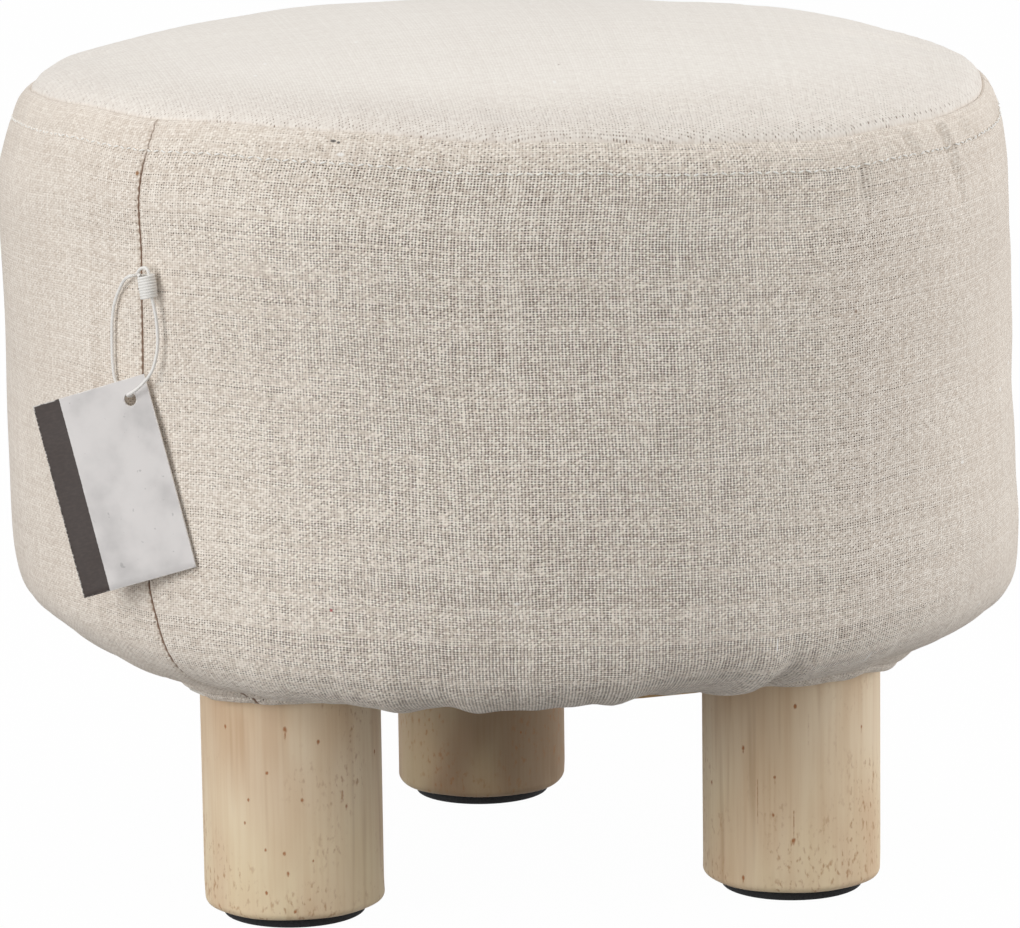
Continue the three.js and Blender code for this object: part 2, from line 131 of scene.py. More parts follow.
class Signal:
    """A shader value. Arithmetic on it adds Math nodes to its recipe."""

    def __init__(self, recipe: "Recipe", socket: Socket) -> None:
        """Wraps one output socket."""
        self.recipe = recipe
        self.socket = socket

    def math(self, operation: str, first: Number, second: Number = 0.0, third: Number = 0.0) -> "Signal":
        """Adds one Math node.

        Args:
            operation: the node's operation.
            first: the first value.
            second: the second value.
            third: the third value.

        Returns:
            The node's result.
        """
        settings = {"operation": operation}
        return self.recipe.value("Math", settings, {0: first, 1: second, 2: third})

    def __add__(self, other: Number) -> "Signal":
        """self + other."""
        return self.math("ADD", self, other)

    def __radd__(self, other: Number) -> "Signal":
        """other + self."""
        return self.math("ADD", other, self)

    def __sub__(self, other: Number) -> "Signal":
        """self - other."""
        return self.math("SUBTRACT", self, other)

    def __rsub__(self, other: Number) -> "Signal":
        """other - self."""
        return self.math("SUBTRACT", other, self)

    def __mul__(self, other: Number) -> "Signal":
        """self * other."""
        return self.math("MULTIPLY", self, other)

    def __rmul__(self, other: Number) -> "Signal":
        """other * self."""
        return self.math("MULTIPLY", other, self)

    def __truediv__(self, other: Number) -> "Signal":
        """self / other."""
        return self.math("DIVIDE", self, other)

    def floor(self) -> "Signal":
        """The whole number below."""
        return self.math("FLOOR", self)

    def centred(self) -> "Signal":
        """The place within a unit cell, from -0.5 to 0.5."""
        return self.math("FRACT", self) - 0.5

    def size(self) -> "Signal":
        """The absolute value."""
        return self.math("ABSOLUTE", self)

    def cosine(self) -> "Signal":
        """The cosine of an angle in radians."""
        return self.math("COSINE", self)

    def above(self, other: Number) -> "Signal":
        """The larger of two values."""
        return self.math("MAXIMUM", self, other)

    def below(self, other: Number) -> "Signal":
        """The smaller of two values."""
        return self.math("MINIMUM", self, other)

    def step(self, low: Number, high: Number) -> "Signal":
        """A smooth step from 0 at low to 1 at high."""
        return self.recipe.value(
            "MapRange",
            {"interpolation_type": "SMOOTHSTEP"},
            {"Value": self, "From Min": low, "From Max": high},
        )


class Recipe:
    """One material or world under construction: its nodes, and the shader that they feed."""

    def __init__(self, name: str, world: bool = False) -> None:
        """Starts an empty material or world of that name."""
        self.owner = (bpy.data.worlds if world else bpy.data.materials).new(name)
        self.owner.use_nodes = True
        self.tree = self.owner.node_tree
        self.tree.nodes.clear()
        self.output = self.node("OutputWorld" if world else "OutputMaterial")

    def node(self, kind: str, settings: Optional[dict] = None, inputs: Optional[dict] = None) -> Node:
        """Adds a node.

        Args:
            kind: the node's type, without the prefix ShaderNode.
            settings: its properties, set first.
            inputs: values, colours, signals or sockets, by input name or number.

        Returns:
            The node.
        """
        node = self.tree.nodes.new(f"ShaderNode{kind}")
        for name, setting in (settings or {}).items():
            setattr(node, name, setting)
        for key, given in (inputs or {}).items():
            target = node.inputs[key]
            if isinstance(given, Signal):
                self.tree.links.new(given.socket, target)
            elif isinstance(given, Socket):
                self.tree.links.new(given, target)
            elif target.type == "RGBA" and len(given) == 3:
                target.default_value = (*given, 1.0)
            else:
                target.default_value = given
        return node

    def value(self, kind: str, settings: Optional[dict], inputs: dict) -> Signal:
        """Adds a node and returns its first output as a signal."""
        return Signal(self, self.node(kind, settings, inputs).outputs[0])

    def split(self, vector: Socket) -> tuple[Signal, Signal, Signal]:
        """A vector's three values."""
        parts = self.node("SeparateXYZ", None, {0: vector}).outputs
        return tuple(Signal(self, part) for part in parts)

    def uv(self, name: str) -> tuple[Signal, Signal]:
        """The two values of a UV map."""
        return self.split(self.node("UVMap", {"uv_map": name}).outputs[0])[:2]

    def attribute(self, name: str) -> Signal:
        """A value that the mesh carries at its points."""
        return Signal(self, self.node("Attribute", {"attribute_name": name}).outputs["Fac"])

    def place(self) -> tuple[Signal, Signal, Signal]:
        """The three object coordinates."""
        return self.split(self.node("TexCoord").outputs["Object"])

    def vector(self, x: Number, y: Number, z: Number = 0.0) -> Socket:
        """A vector from three values."""
        return self.node("CombineXYZ", None, {0: x, 1: y, 2: z}).outputs[0]

    def noise(self, vector: Socket, scale: float, detail: float = 2.0) -> Signal:
        """Soft noise about 0.5 at a scale in cycles for a unit of the vector."""
        inputs = {"Vector": vector, "Scale": scale, "Detail": detail}
        return self.value("TexNoise", None, inputs)

    def random(self, x: Number, y: Number = 0.0) -> Signal:
        """A random value from 0 to 1 for each pair of whole numbers."""
        settings = {"noise_dimensions": "2D"}
        return self.value("TexWhiteNoise", settings, {"Vector": self.vector(x, y)})

    def spots(self, vector: Socket, scale: float, radius: float, share: float) -> Signal:
        """Round spots in a share of the cells of a cell pattern.

        Args:
            vector: where the pattern is read.
            scale: cells for a unit of the vector.
            radius: a spot's radius in cells.
            share: the share of cells that has a spot.

        Returns:
            1 inside a spot, falling softly to 0 outside.
        """
        cells = self.node("TexVoronoi", {"feature": "F1"}, {"Vector": vector, "Scale": scale})
        chosen = self.node("SeparateColor", None, {0: cells.outputs["Color"]}).outputs[0]
        distance = Signal(self, cells.outputs["Distance"])
        return distance.step(radius, 0.35 * radius) * Signal(self, chosen).step(1 - share, 1.001 - share)

    def mix(self, share: Number, first: object, second: object) -> Socket:
        """Mixes two colours by a share."""
        return self.node("Mix", {"data_type": "RGBA"}, {0: share, 6: first, 7: second}).outputs[2]

    def bump(self, height: Signal, distance: float, strength: float) -> Socket:
        """A bump of a height that spans a distance in metres."""
        inputs = {"Height": height, "Distance": distance, "Strength": strength}
        return self.node("Bump", None, inputs).outputs[0]

    def seen(self) -> Signal:
        """1 for rays that show the background: camera, mirrored and see-through rays."""
        rays = self.node("LightPath").outputs
        kinds = ("Is Camera Ray", "Is Glossy Ray", "Is Transmission Ray")
        camera, mirrored, through = (Signal(self, rays[kind]) for kind in kinds)
        return camera.above(mirrored).above(through)

    def surface(self, shader: Node) -> Union[Material, bpy.types.World]:
        """Ends the recipe with a shader and returns the material or world."""
        self.tree.links.new(shader.outputs[0], self.output.inputs[0])
        return self.owner

    def blend(self, share: Number, first: Node, second: Node) -> Union[Material, bpy.types.World]:
        """Ends the recipe with a mix of two shaders, the second by a share."""
        shaders = {0: share, 1: first.outputs[0], 2: second.outputs[0]}
        return self.surface(self.node("MixShader", None, shaders))

    def finish(self, **inputs: object) -> Material:
        """Ends the recipe with the principled shader, which takes the inputs by name."""
        named = {name.replace("_", " "): given for name, given in inputs.items()}
        return self.surface(self.node("BsdfPrincipled", None, named))


@dataclass(frozen=True)
class Mark:
    """A fleck caught in the cloth: its place on the weave, half sizes, colour and strength."""

    right: float
    up: float
    width: float
    height: float
    colour: Colour
    strength: float = 0.85


@dataclass(frozen=True)
class LinenFinish:
    """Plain-weave linen: pale threads over and under each other with brown gaps between."""

    name: str
    warp_pitch: float = 0.97 * MM
    weft_pitch: float = 0.70 * MM
    light: Colour = srgb(255, 247, 236)
    shade: Colour = srgb(186, 167, 149)
    gap: Colour = srgb(62, 38, 20)
    stain: Colour = srgb(116, 76, 42)
    gap_depth: float = 1.2
    slackness: float = 0.10
    row_share: float = 0.75
    thread: float = 0.29
    thread_spread: float = 0.12
    wander: float = 1.3
    quiver: float = 0.4
    # weight of the painted shading of each thread in the colour: crowns lighter, flanks darker
    body: float = 0.45
    diagonal: float = 0.10
    tension: float = 1.3
    # how much darker the tone is where stretch is high: painted shade where positive
    stretch_shade: float = -0.07
    relief: float = 0.3 * MM
    seam_line: bool = False
    needle_holes: bool = False
    needle_pitch: float = 3.3 * MM
    needle_inset: float = 1.3 * MM
    needle_length: float = 0.36 * MM
    ladder_pitch: float = 2.4 * MM
    broad: float = 42.0
    fine: float = 420.0
    marks: tuple[Mark, ...] = ()

    def make(self) -> Material:
        """Builds the weave on the UV map 'weave', which is in metres.

        Returns:
            The material.
        """
        recipe = Recipe(self.name)
        u, v = recipe.uv("weave")
        spot = recipe.vector(u, v)
        across = self._wandering(recipe, u / self.warp_pitch, spot)
        along = self._wandering(recipe, v / self.weft_pitch, recipe.vector(v, u, 3.0))
        column = across.floor()
        row = along.floor()
        warp = self._width(recipe, column, v)
        weft = self._width(recipe, row + 517.0, u)
        fx = across.centred()
        fy = along.centred()
        warp_top = 0.5 + 0.5 * ((along - 0.5 - column) * math.pi).cosine()
        weft_top = 0.5 - 0.5 * ((across - 0.5 - row) * math.pi).cosine()
        warp_height = (1.0 - (fx / warp) * (fx / warp)).above(0.0) * (0.25 + 0.75 * warp_top)
        weft_height = (1.0 - (fy / weft) * (fy / weft)).above(0.0) * (0.25 + 0.75 * weft_top)
        height = warp_height.above(weft_height)
        open_x = fx.size().step(warp - 0.05, warp + 0.05)
        open_y = fy.size().step(weft - 0.05, weft + 0.05)
        slope = ((across - along) * math.pi).cosine()
        stretch = recipe.attribute("stretch")
        between = (along + 0.5).floor()
        corner = recipe.random((across + 0.5).floor(), between)
        slack_row = recipe.random(between, 43.0)
        faded = recipe.noise(recipe.vector(u * 110.0, between * 1.37), 1.0, 1.0)
        opening = self.slackness + self.row_share * slack_row * slack_row + 1.3 * (faded - 0.5)
        opening = opening + 0.8 * (corner - 0.5) - 0.12 * slope
        opening = opening + (stretch - 1.0) * self.tension
        hole = open_x * open_y * opening.below(1.0).above(0.0)
        hole = hole * self.gap_depth * stretch * (0.4 + 0.6 * stretch)
        tint = 0.5 * recipe.random(column, 11.0) + 0.5 * recipe.random(row, 29.0)
        patch = recipe.noise(spot, 11.0, 3.0)
        glint = recipe.random(column + 3.0, row)
        # The colour paints each thread's crown lighter and its flanks darker, and the glint lightens some
        # crossings at random: painted shading and painted highlights of the thread relief; light and shade
        # are their colours.
        detail = (height - 0.5) * self.body + slope * self.diagonal + (glint - 0.5) * 0.5
        tone = 0.60 + detail * (0.3 + 0.6 * stretch) + (tint - 0.5) * 0.2 + (patch - 0.5) * 0.22
        # Darker where stretch is high: on the top, towards its front rim, this is painted shade; the side's
        # small negative weight lightens it a little instead.
        tone = tone - (stretch - 0.4) * self.stretch_shade
        colour = recipe.mix(tone.below(1.0).above(0.0), self.shade, self.light)
        nub = recipe.spots(recipe.vector(u * 0.45, v), 130.0, 0.10, 0.12)
        colour = recipe.mix(nub * 0.8, colour, srgb(252, 249, 244))
        hole = hole * (1.0 - nub)
        colour = recipe.mix(hole, colour, self.gap)
        fleck = recipe.spots(recipe.vector(u * 0.8, v, 7.0), 75.0, 0.05, 0.2)
        colour = recipe.mix(fleck * 0.7, colour, self.stain)
        for mark in self.marks:
            right = (u - mark.right) / mark.width
            up = (v - mark.up) / mark.height
            spot = (right * right + up * up).step(1.0, 0.35)
            colour = recipe.mix(spot * mark.strength, colour, mark.colour)
        if self.seam_line:
            ladder = (v * (math.tau / self.ladder_pitch)).cosine()
            seam = recipe.attribute("seam_side").step((0.60 + 0.26 * ladder) * MM, 0.1 * MM)
            low = v.step(-7.0 * MM, -16.0 * MM)
            colour = recipe.mix(seam * (0.35 + 0.5 * low), colour, srgb(118, 80, 48))
        if self.needle_holes:
            colour = self._needle_holes(recipe, colour)
        lift = (height * 0.8 - hole * 0.35) * (0.15 + 0.6 * stretch) + nub * 0.4
        normal = recipe.bump(lift, self.relief, 0.8)
        rough = 0.86 + 0.1 * patch
        return recipe.finish(
            Base_Color=colour, Roughness=rough, Normal=normal, Sheen_Weight=0.15, Sheen_Roughness=0.5,
        )

    def _wandering(self, recipe: Recipe, count: Signal, spot: Socket) -> Signal:
        """A count of threads that wanders in broad bends and quivers in fine ones."""
        count = count + (recipe.noise(spot, self.broad) - 0.5) * self.wander
        return count + (recipe.noise(spot, self.fine, 1.0) - 0.5) * self.quiver

    def _width(self, recipe: Recipe, thread: Signal, length: Signal) -> Signal:
        """Half a thread's width in pitches: its own, and thick and thin along its length."""
        slub = recipe.noise(recipe.vector(thread * 7.31, length * 110.0), 1.0, 2.0)
        own = recipe.random(thread, 3.0)
        width = self.thread + (slub - 0.5) * (2.4 * self.thread_spread) + (own - 0.5) * self.thread_spread
        return width.above(0.20)

    def _needle_holes(self, recipe: Recipe, colour: Socket) -> Socket:
        """Small brown needle holes in a row beside the edge seam, stronger in some stretches."""
        arc = recipe.attribute("edge_arc")
        inset = recipe.attribute("edge_inset")
        pull = recipe.attribute("edge_pull")
        step = arc / self.needle_pitch
        dx = step.centred() * (self.needle_pitch / MM)
        dy = (inset - self.needle_inset) / self.needle_length
        spot = ((dx * dx) * 8.0 + dy * dy).step(1.0, 0.25)
        strength = recipe.random(step.floor(), 5.0).step(0.1, 1.0) * 0.35 + 0.6 * pull
        return recipe.mix(spot * strength, colour, self.gap)


@dataclass(frozen=True)
class WoodFinish:
    """Pale sanded pine with soft grain, small brown specks and a few dark dashes."""

    name: str
    seed: float
    pale: Colour = srgb(240, 222, 194)
    warm: Colour = srgb(219, 190, 154)
    grain: Colour = srgb(178, 140, 100)
    speck: Colour = srgb(164, 98, 46)

    def make(self) -> Material:
        """Builds grain that runs up the object's Z axis.

        Returns:
            The material.
        """
        recipe = Recipe(self.name)
        x, y, z = recipe.place()

        def grainy(share: float, scale: float, detail: float = 2.0, shift: float = 0.0) -> Signal:
            """Noise drawn out along the grain, where only a share of the height counts."""
            return recipe.noise(recipe.vector(x + self.seed, y + shift, z * share), scale, detail)

        blotch = grainy(0.35, 42.0)
        fibre = grainy(0.035, 900.0, 3.0)
        drift = grainy(0.12, 60.0)
        rings = ((x * 0.9 + y * 0.5 + drift * (6.0 * MM)) * (math.tau / (4.4 * MM))).cosine()
        tone = blotch.step(0.32, 0.68) * 0.65 + fibre.step(0.35, 0.7) * 0.25 + rings * 0.03
        colour = recipe.mix(tone.above(0.0), self.pale, self.warm)
        streak = grainy(0.05, 260.0).step(0.56, 0.75)
        colour = recipe.mix(streak * 0.4, colour, self.grain)
        # Browner and darker towards the top of each leg, broken up by noise: painted shade under the cover.
        cloudy_painted_shade = grainy(0.08, 120.0).step(0.35, 0.7)
        colour = recipe.mix(z.step(0.030, 0.074) * cloudy_painted_shade * 0.4, colour, srgb(188, 146, 106))
        lower = (0.052 - z).step(0.0, 0.04) * blotch.step(0.62, 0.38)
        colour = recipe.mix(lower * 0.4, colour, srgb(232, 212, 168))
        blush = grainy(0.6, 34.0, shift=2.0).step(0.45, 0.7)
        colour = recipe.mix(blush * 0.26, colour, srgb(202, 162, 126))
        ragged = grainy(0.5, 1500.0)
        mark = recipe.attribute("speck")
        dash = (mark + (ragged - 0.5) * 1.1 * mark).step(0.30, 0.85)
        colour = recipe.mix(dash * 0.9, colour, self.speck)
        dirt = grainy(0.5, 760.0, 3.0).step(0.54, 0.72)
        area = (grainy(1.0, 38.0, 1.0) + (0.026 - z) * 4.0).step(0.40, 0.60)
        colour = recipe.mix(dirt * area * 0.62, colour, srgb(168, 112, 62))
        height = fibre * 0.5 - dash * 0.25 - dirt * area * 0.15
        normal = recipe.bump(height, 0.12 * MM, 0.5)
        return recipe.finish(
            Base_Color=colour, Roughness=0.5 + 0.2 * blotch, Normal=normal, Specular_IOR_Level=0.35,
        )


@dataclass(frozen=True)
class PlainFinish:
    """A matt or satin material with fine mottling and relief."""

    name: str
    first: Colour
    second: Colour
    scale: float = 400.0
    stretch: tuple[float, float, float] = (1.0, 1.0, 1.0)
    rough: float = 0.8
    relief: float = 0.1 * MM
    metal: float = 0.0

    def make(self) -> Material:
        """Builds the mottling on object coordinates."""
        recipe = Recipe(self.name)
        x, y, z = recipe.place()
        spot = recipe.vector(x * self.stretch[0], y * self.stretch[1], z * self.stretch[2])
        mottle = recipe.noise(spot, self.scale, 3.0)
        broad = recipe.noise(spot, self.scale * 0.1, 2.0)
        colour = recipe.mix((mottle * 0.7 + broad * 0.3).step(0.3, 0.7), self.first, self.second)
        normal = recipe.bump(mottle, self.relief, 0.6)
        return recipe.finish(
            Base_Color=colour, Roughness=self.rough - 0.1 + 0.2 * broad, Normal=normal, Metallic=self.metal,
        )


@dataclass(frozen=True)
class CordFinish:
    """White covered elastic: a fine braid that runs slantwise round the cord."""

    name: str
    light: Colour = srgb(250, 248, 244)
    dark: Colour = srgb(206, 202, 196)
    rib: float = 0.42 * MM

    def make(self) -> Material:
        """Builds the braid on the UV map 'cord': metres along, and turns round."""
        recipe = Recipe(self.name)
        along, round_share = recipe.uv("cord")
        slant = ((along / self.rib + round_share * 3.0) * math.tau).cosine()
        other = ((along / self.rib - round_share * 3.0) * math.tau).cosine()
        rib = (slant.above(other) * 0.5) + 0.5
        colour = recipe.mix(rib, self.dark, self.light)
        normal = recipe.bump(rib, 0.05 * MM, 0.7)
        return recipe.finish(Base_Color=colour, Roughness=0.8 - 0.1 * rib, Normal=normal, Sheen_Weight=0.2)


@dataclass(frozen=True)
class CardFinish:
    """Stiff matt card: a dark band at its left, a light smudged field, and pale cut edges."""

    name: str
    band_edge: float
    light: Colour = srgb(217, 213, 211)
    smudge: Colour = srgb(178, 175, 174)
    band: Colour = srgb(48, 38, 34)
    core: Colour = srgb(236, 232, 226)

    def make(self) -> Material:
        """Builds the print on the UV map 'card': metres from the hole, right and up."""
        recipe = Recipe(self.name)
        u, v = recipe.uv("card")
        face = recipe.attribute("card_face")
        rim = recipe.attribute("card_rim")
        cloud = recipe.noise(recipe.vector(u, v), 70.0, 4.0)
        broad = recipe.noise(recipe.vector(u, v * 0.6, 4.0), 32.0, 2.0)
        grain = recipe.noise(recipe.vector(u * 0.4, v, 9.0), 1500.0, 2.0)
        dirt = (cloud * 0.6 + broad * 0.4).step(0.44, 0.72)
        field_colour = recipe.mix(dirt * 0.8, self.light, self.smudge)
        flake = recipe.noise(recipe.vector(u, v, 2.0), 420.0, 3.0).step(0.68, 0.74)
        field_colour = recipe.mix(flake * 0.35, field_colour, srgb(120, 118, 118))
        ragged = recipe.noise(recipe.vector(u, v, 5.0), 900.0, 2.0) - 0.5
        banded = (u + ragged * (0.25 * MM)).step(self.band_edge + 0.06 * MM, self.band_edge - 0.06 * MM)
        worn = grain.step(0.35, 0.75) * 0.22
        band_colour = recipe.mix(worn, self.band, srgb(86, 72, 66))
        colour = recipe.mix(banded, field_colour, band_colour)
        scuff = rim.step(0.45 * MM, 0.1 * MM) * (grain + cloud * 0.6).step(0.7, 1.0)
        colour = recipe.mix(scuff * 0.8, colour, self.core)
        colour = recipe.mix(1.0 - face, colour, recipe.mix(banded, self.core, srgb(128, 82, 62)))
        normal = recipe.bump(grain * 0.5 + cloud * 0.5, 0.06 * MM, 0.4)
        return recipe.finish(Base_Color=colour, Roughness=0.55 + 0.2 * cloud, Normal=normal)


def add_piece(name: str, points: Array, faces: Sequence[Array]) -> Piece:
    """Makes a smooth-shaded mesh object at the origin.

    Args:
        name: the piece's name.
        points: an array of points, three values each, in metres.
        faces: arrays of vertex numbers, one array for each count of corners.

    Returns:
        The object, linked to the scene.
    """
    mesh = bpy.data.meshes.new(name)
    rows = [row for block in faces for row in block.tolist()]
    mesh.from_pydata(points.reshape(-1, 3).tolist(), [], rows)
    mesh.polygons.foreach_set("use_smooth", np.ones(len(rows), dtype=bool))
    mesh.update()
    piece = bpy.data.objects.new(name, mesh)
    bpy.context.scene.collection.objects.link(piece)
    LOG.info("%s: %d points, %d faces", name, len(mesh.vertices), len(rows))
    return piece


def add_uv(piece: Piece, name: str, values: Array) -> None:
    """Gives a piece a UV map from one pair of values for each point."""
    mesh = piece.data
    corners = np.empty(len(mesh.loops), dtype=np.int32)
    mesh.loops.foreach_get("vertex_index", corners)
    layer = mesh.uv_layers.new(name=name)
    layer.data.foreach_set("uv", values.reshape(-1, 2)[corners].astype(np.float32).ravel())


def add_values(piece: Piece, name: str, values: Array) -> None:
    """Gives a piece one value for each point."""
    attribute = piece.data.attributes.new(name, "FLOAT", "POINT")
    attribute.data.foreach_set("value", values.astype(np.float32).ravel())


def dress(piece: Piece, material: Material, body: Body, slot: Slot, *nodes: str) -> Piece:
    """Gives a piece its material and body, and lets it stand for CAD nodes."""
    piece.data.materials.clear()
    piece.data.materials.append(material)
    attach(piece, body.value)
    if nodes:
        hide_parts(*nodes)
    return piece


def ring_faces(rows: int, columns: int, wrap_rows: bool, wrap_columns: bool) -> Array:
    """The quads of a grid of points, joined round in either direction.

    Args:
        rows: rows of points.
        columns: points in a row.
        wrap_rows: whether the last row joins the first.
        wrap_columns: whether the last column joins the first.

    Returns:
        Vertex numbers, four for each quad.
    """
    row = np.arange(rows if wrap_rows else rows - 1)[:, None]
    column = np.arange(columns if wrap_columns else columns - 1)[None, :]
    below = (row + 1) % rows
    right = (column + 1) % columns
    corners = ((row, column), (row, right), (below, right), (below, column))
    numbers = [across * columns + along for across, along in corners]
    return np.stack(np.broadcast_arrays(*numbers), -1).reshape(-1, 4)


def cap(columns: int, pole: int, start: int, forward: bool) -> Array:
    """Triangles from a pole to a closed row of points.

    Args:
        columns: points in the row.
        pole: the pole's vertex number.
        start: the vertex number of the row's first point.
        forward: whether the triangles run the way that the row does.

    Returns:
        Vertex numbers, three for each triangle.
    """
    near = start + np.arange(columns)
    after = start + (np.arange(columns) + 1) % columns
    pair = (near, after) if forward else (after, near)
    return np.stack([np.full(columns, pole), *pair], -1)


def lengths(path: Array) -> Array:
    """The length along a path at each of its points."""
    return np.concatenate([[0.0], np.cumsum(np.linalg.norm(np.diff(path, axis=0), axis=1))])


def polar(radius: Array, angle: Array, height: Array) -> Array:
    """Points at a radius, angle and height."""
    return np.stack([radius * np.cos(angle), radius * np.sin(angle), height], -1)


def folded(values: Array, skip: int = 0) -> Array:
    """Rows followed by the same rows backwards, less the last few: a shell's outer and inner face."""
    return np.concatenate([values, values[:len(values) - skip][::-1]])


def read_points(mesh: bpy.types.Mesh) -> Array:
    """A mesh's points."""
    flat = np.empty(len(mesh.vertices) * 3)
    mesh.vertices.foreach_get("co", flat)
    return flat.reshape(-1, 3)


def surface_normals(points: Array) -> Array:
    """Outward unit normals of rows that run down: along the rows crossed with along the columns."""
    return unit(np.cross(np.gradient(points, axis=0), np.gradient(points, axis=1)))


def revolve(
    profile: Array, columns: int, centre: tuple[float, float] = (0.0, 0.0),
) -> tuple[Array, list]:
    """A closed solid of revolution about a vertical axis.

    Args:
        profile: [radius, height] points that run up the outside. Where the first or the last lies
            on the axis it becomes a pole, and otherwise the profile closes on itself.
        columns: points round the axis.
        centre: the axis's place.

    Returns:
        The points, and the arrays of faces.
    """
    turn = math.tau * np.arange(columns) / columns
    poles = profile[0, 0] < TINY and profile[-1, 0] < TINY
    wall = profile[1:-1] if poles else profile
    radius = wall[:, :1]
    x = centre[0] + radius * np.cos(turn)
    y = centre[1] + radius * np.sin(turn)
    grid = np.stack([x, y, np.broadcast_to(wall[:, 1:], x.shape)], -1)
    faces = [ring_faces(len(wall), columns, not poles, True)]
    points = grid.reshape(-1, 3)
    if poles:
        ends = np.array([[*centre, profile[0, 1]], [*centre, profile[-1, 1]]])
        points = np.concatenate([points, ends])
        last = (len(wall) - 1) * columns
        faces += [cap(columns, len(points) - 2, 0, False), cap(columns, len(points) - 1, last, True)]
    return points, faces


def tube(path: Array, radius: Array, sides: int) -> tuple[Array, list, Array]:
    """A closed round tube along a path, with frames carried along it without twist.

    Args:
        path: the centreline's points.
        radius: the tube's radius at each point.
        sides: points round the tube.

    Returns:
        The points, the arrays of faces, and the UV values: metres along, share of a turn.
    """
    along = unit(np.gradient(path, axis=0))
    normals = np.empty_like(along)
    start = np.cross(along[0], [0.0, 0.0, 1.0])
    normals[0] = unit(start if np.linalg.norm(start) > 1e-3 else np.array([1.0, 0.0, 0.0]))
    for index in range(1, len(path)):
        carried = normals[index - 1] - along[index] * np.dot(normals[index - 1], along[index])
        normals[index] = unit(carried)
    sideways = np.cross(along, normals)
    turn = math.tau * np.arange(sides) / sides
    ring = normals[:, None] * np.cos(turn)[:, None] + sideways[:, None] * np.sin(turn)[:, None]
    grid = path[:, None] + ring * radius[:, None, None]
    points = np.concatenate([grid.reshape(-1, 3), path[:1], path[-1:]])
    last = (len(path) - 1) * sides
    caps = [cap(sides, len(points) - 2, 0, False), cap(sides, len(points) - 1, last, True)]
    reach = lengths(path)
    shares = (np.arange(sides) / sides)[None, :]
    uv = np.stack(np.broadcast_arrays(reach[:, None], shares), -1).reshape(-1, 2)
    uv = np.concatenate([uv, [[0.0, 0.5], [reach[-1], 0.5]]])
    return points, [ring_faces(len(path), sides, False, True), *caps], uv


def spline(points: Array, count: int) -> Array:
    """A centripetal Catmull-Rom curve through the points, sampled at even lengths.

    Args:
        points: the points that the curve passes.
        count: samples on the curve.

    Returns:
        The samples.
    """
    padded = np.concatenate([2 * points[:1] - points[1:2], points, 2 * points[-1:] - points[-2:-1]])
    knots = np.concatenate([[0.0], np.cumsum(np.sqrt(np.linalg.norm(np.diff(padded, axis=0), axis=1)))])
    fine = []
    for index in range(1, len(padded) - 2):
        knot = knots[index - 1:index + 3]
        row = list(padded[index - 1:index + 3])
        t = np.linspace(knot[1], knot[2], 24, endpoint=index == len(padded) - 3)[:, None]
        for pairs in (((0, 1), (1, 2), (2, 3)), ((0, 2), (1, 3)), ((1, 2),)):
            row = [
                (knot[high] - t) / (knot[high] - knot[low]) * row[number]
                + (t - knot[low]) / (knot[high] - knot[low]) * row[number + 1]
                for number, (low, high) in enumerate(pairs)
            ]
        fine.append(row[0])
    line = np.concatenate(fine)
    reach = lengths(line)
    even = np.linspace(0.0, reach[-1], count)
    return np.stack([np.interp(even, reach, line[:, axis]) for axis in range(3)], -1)


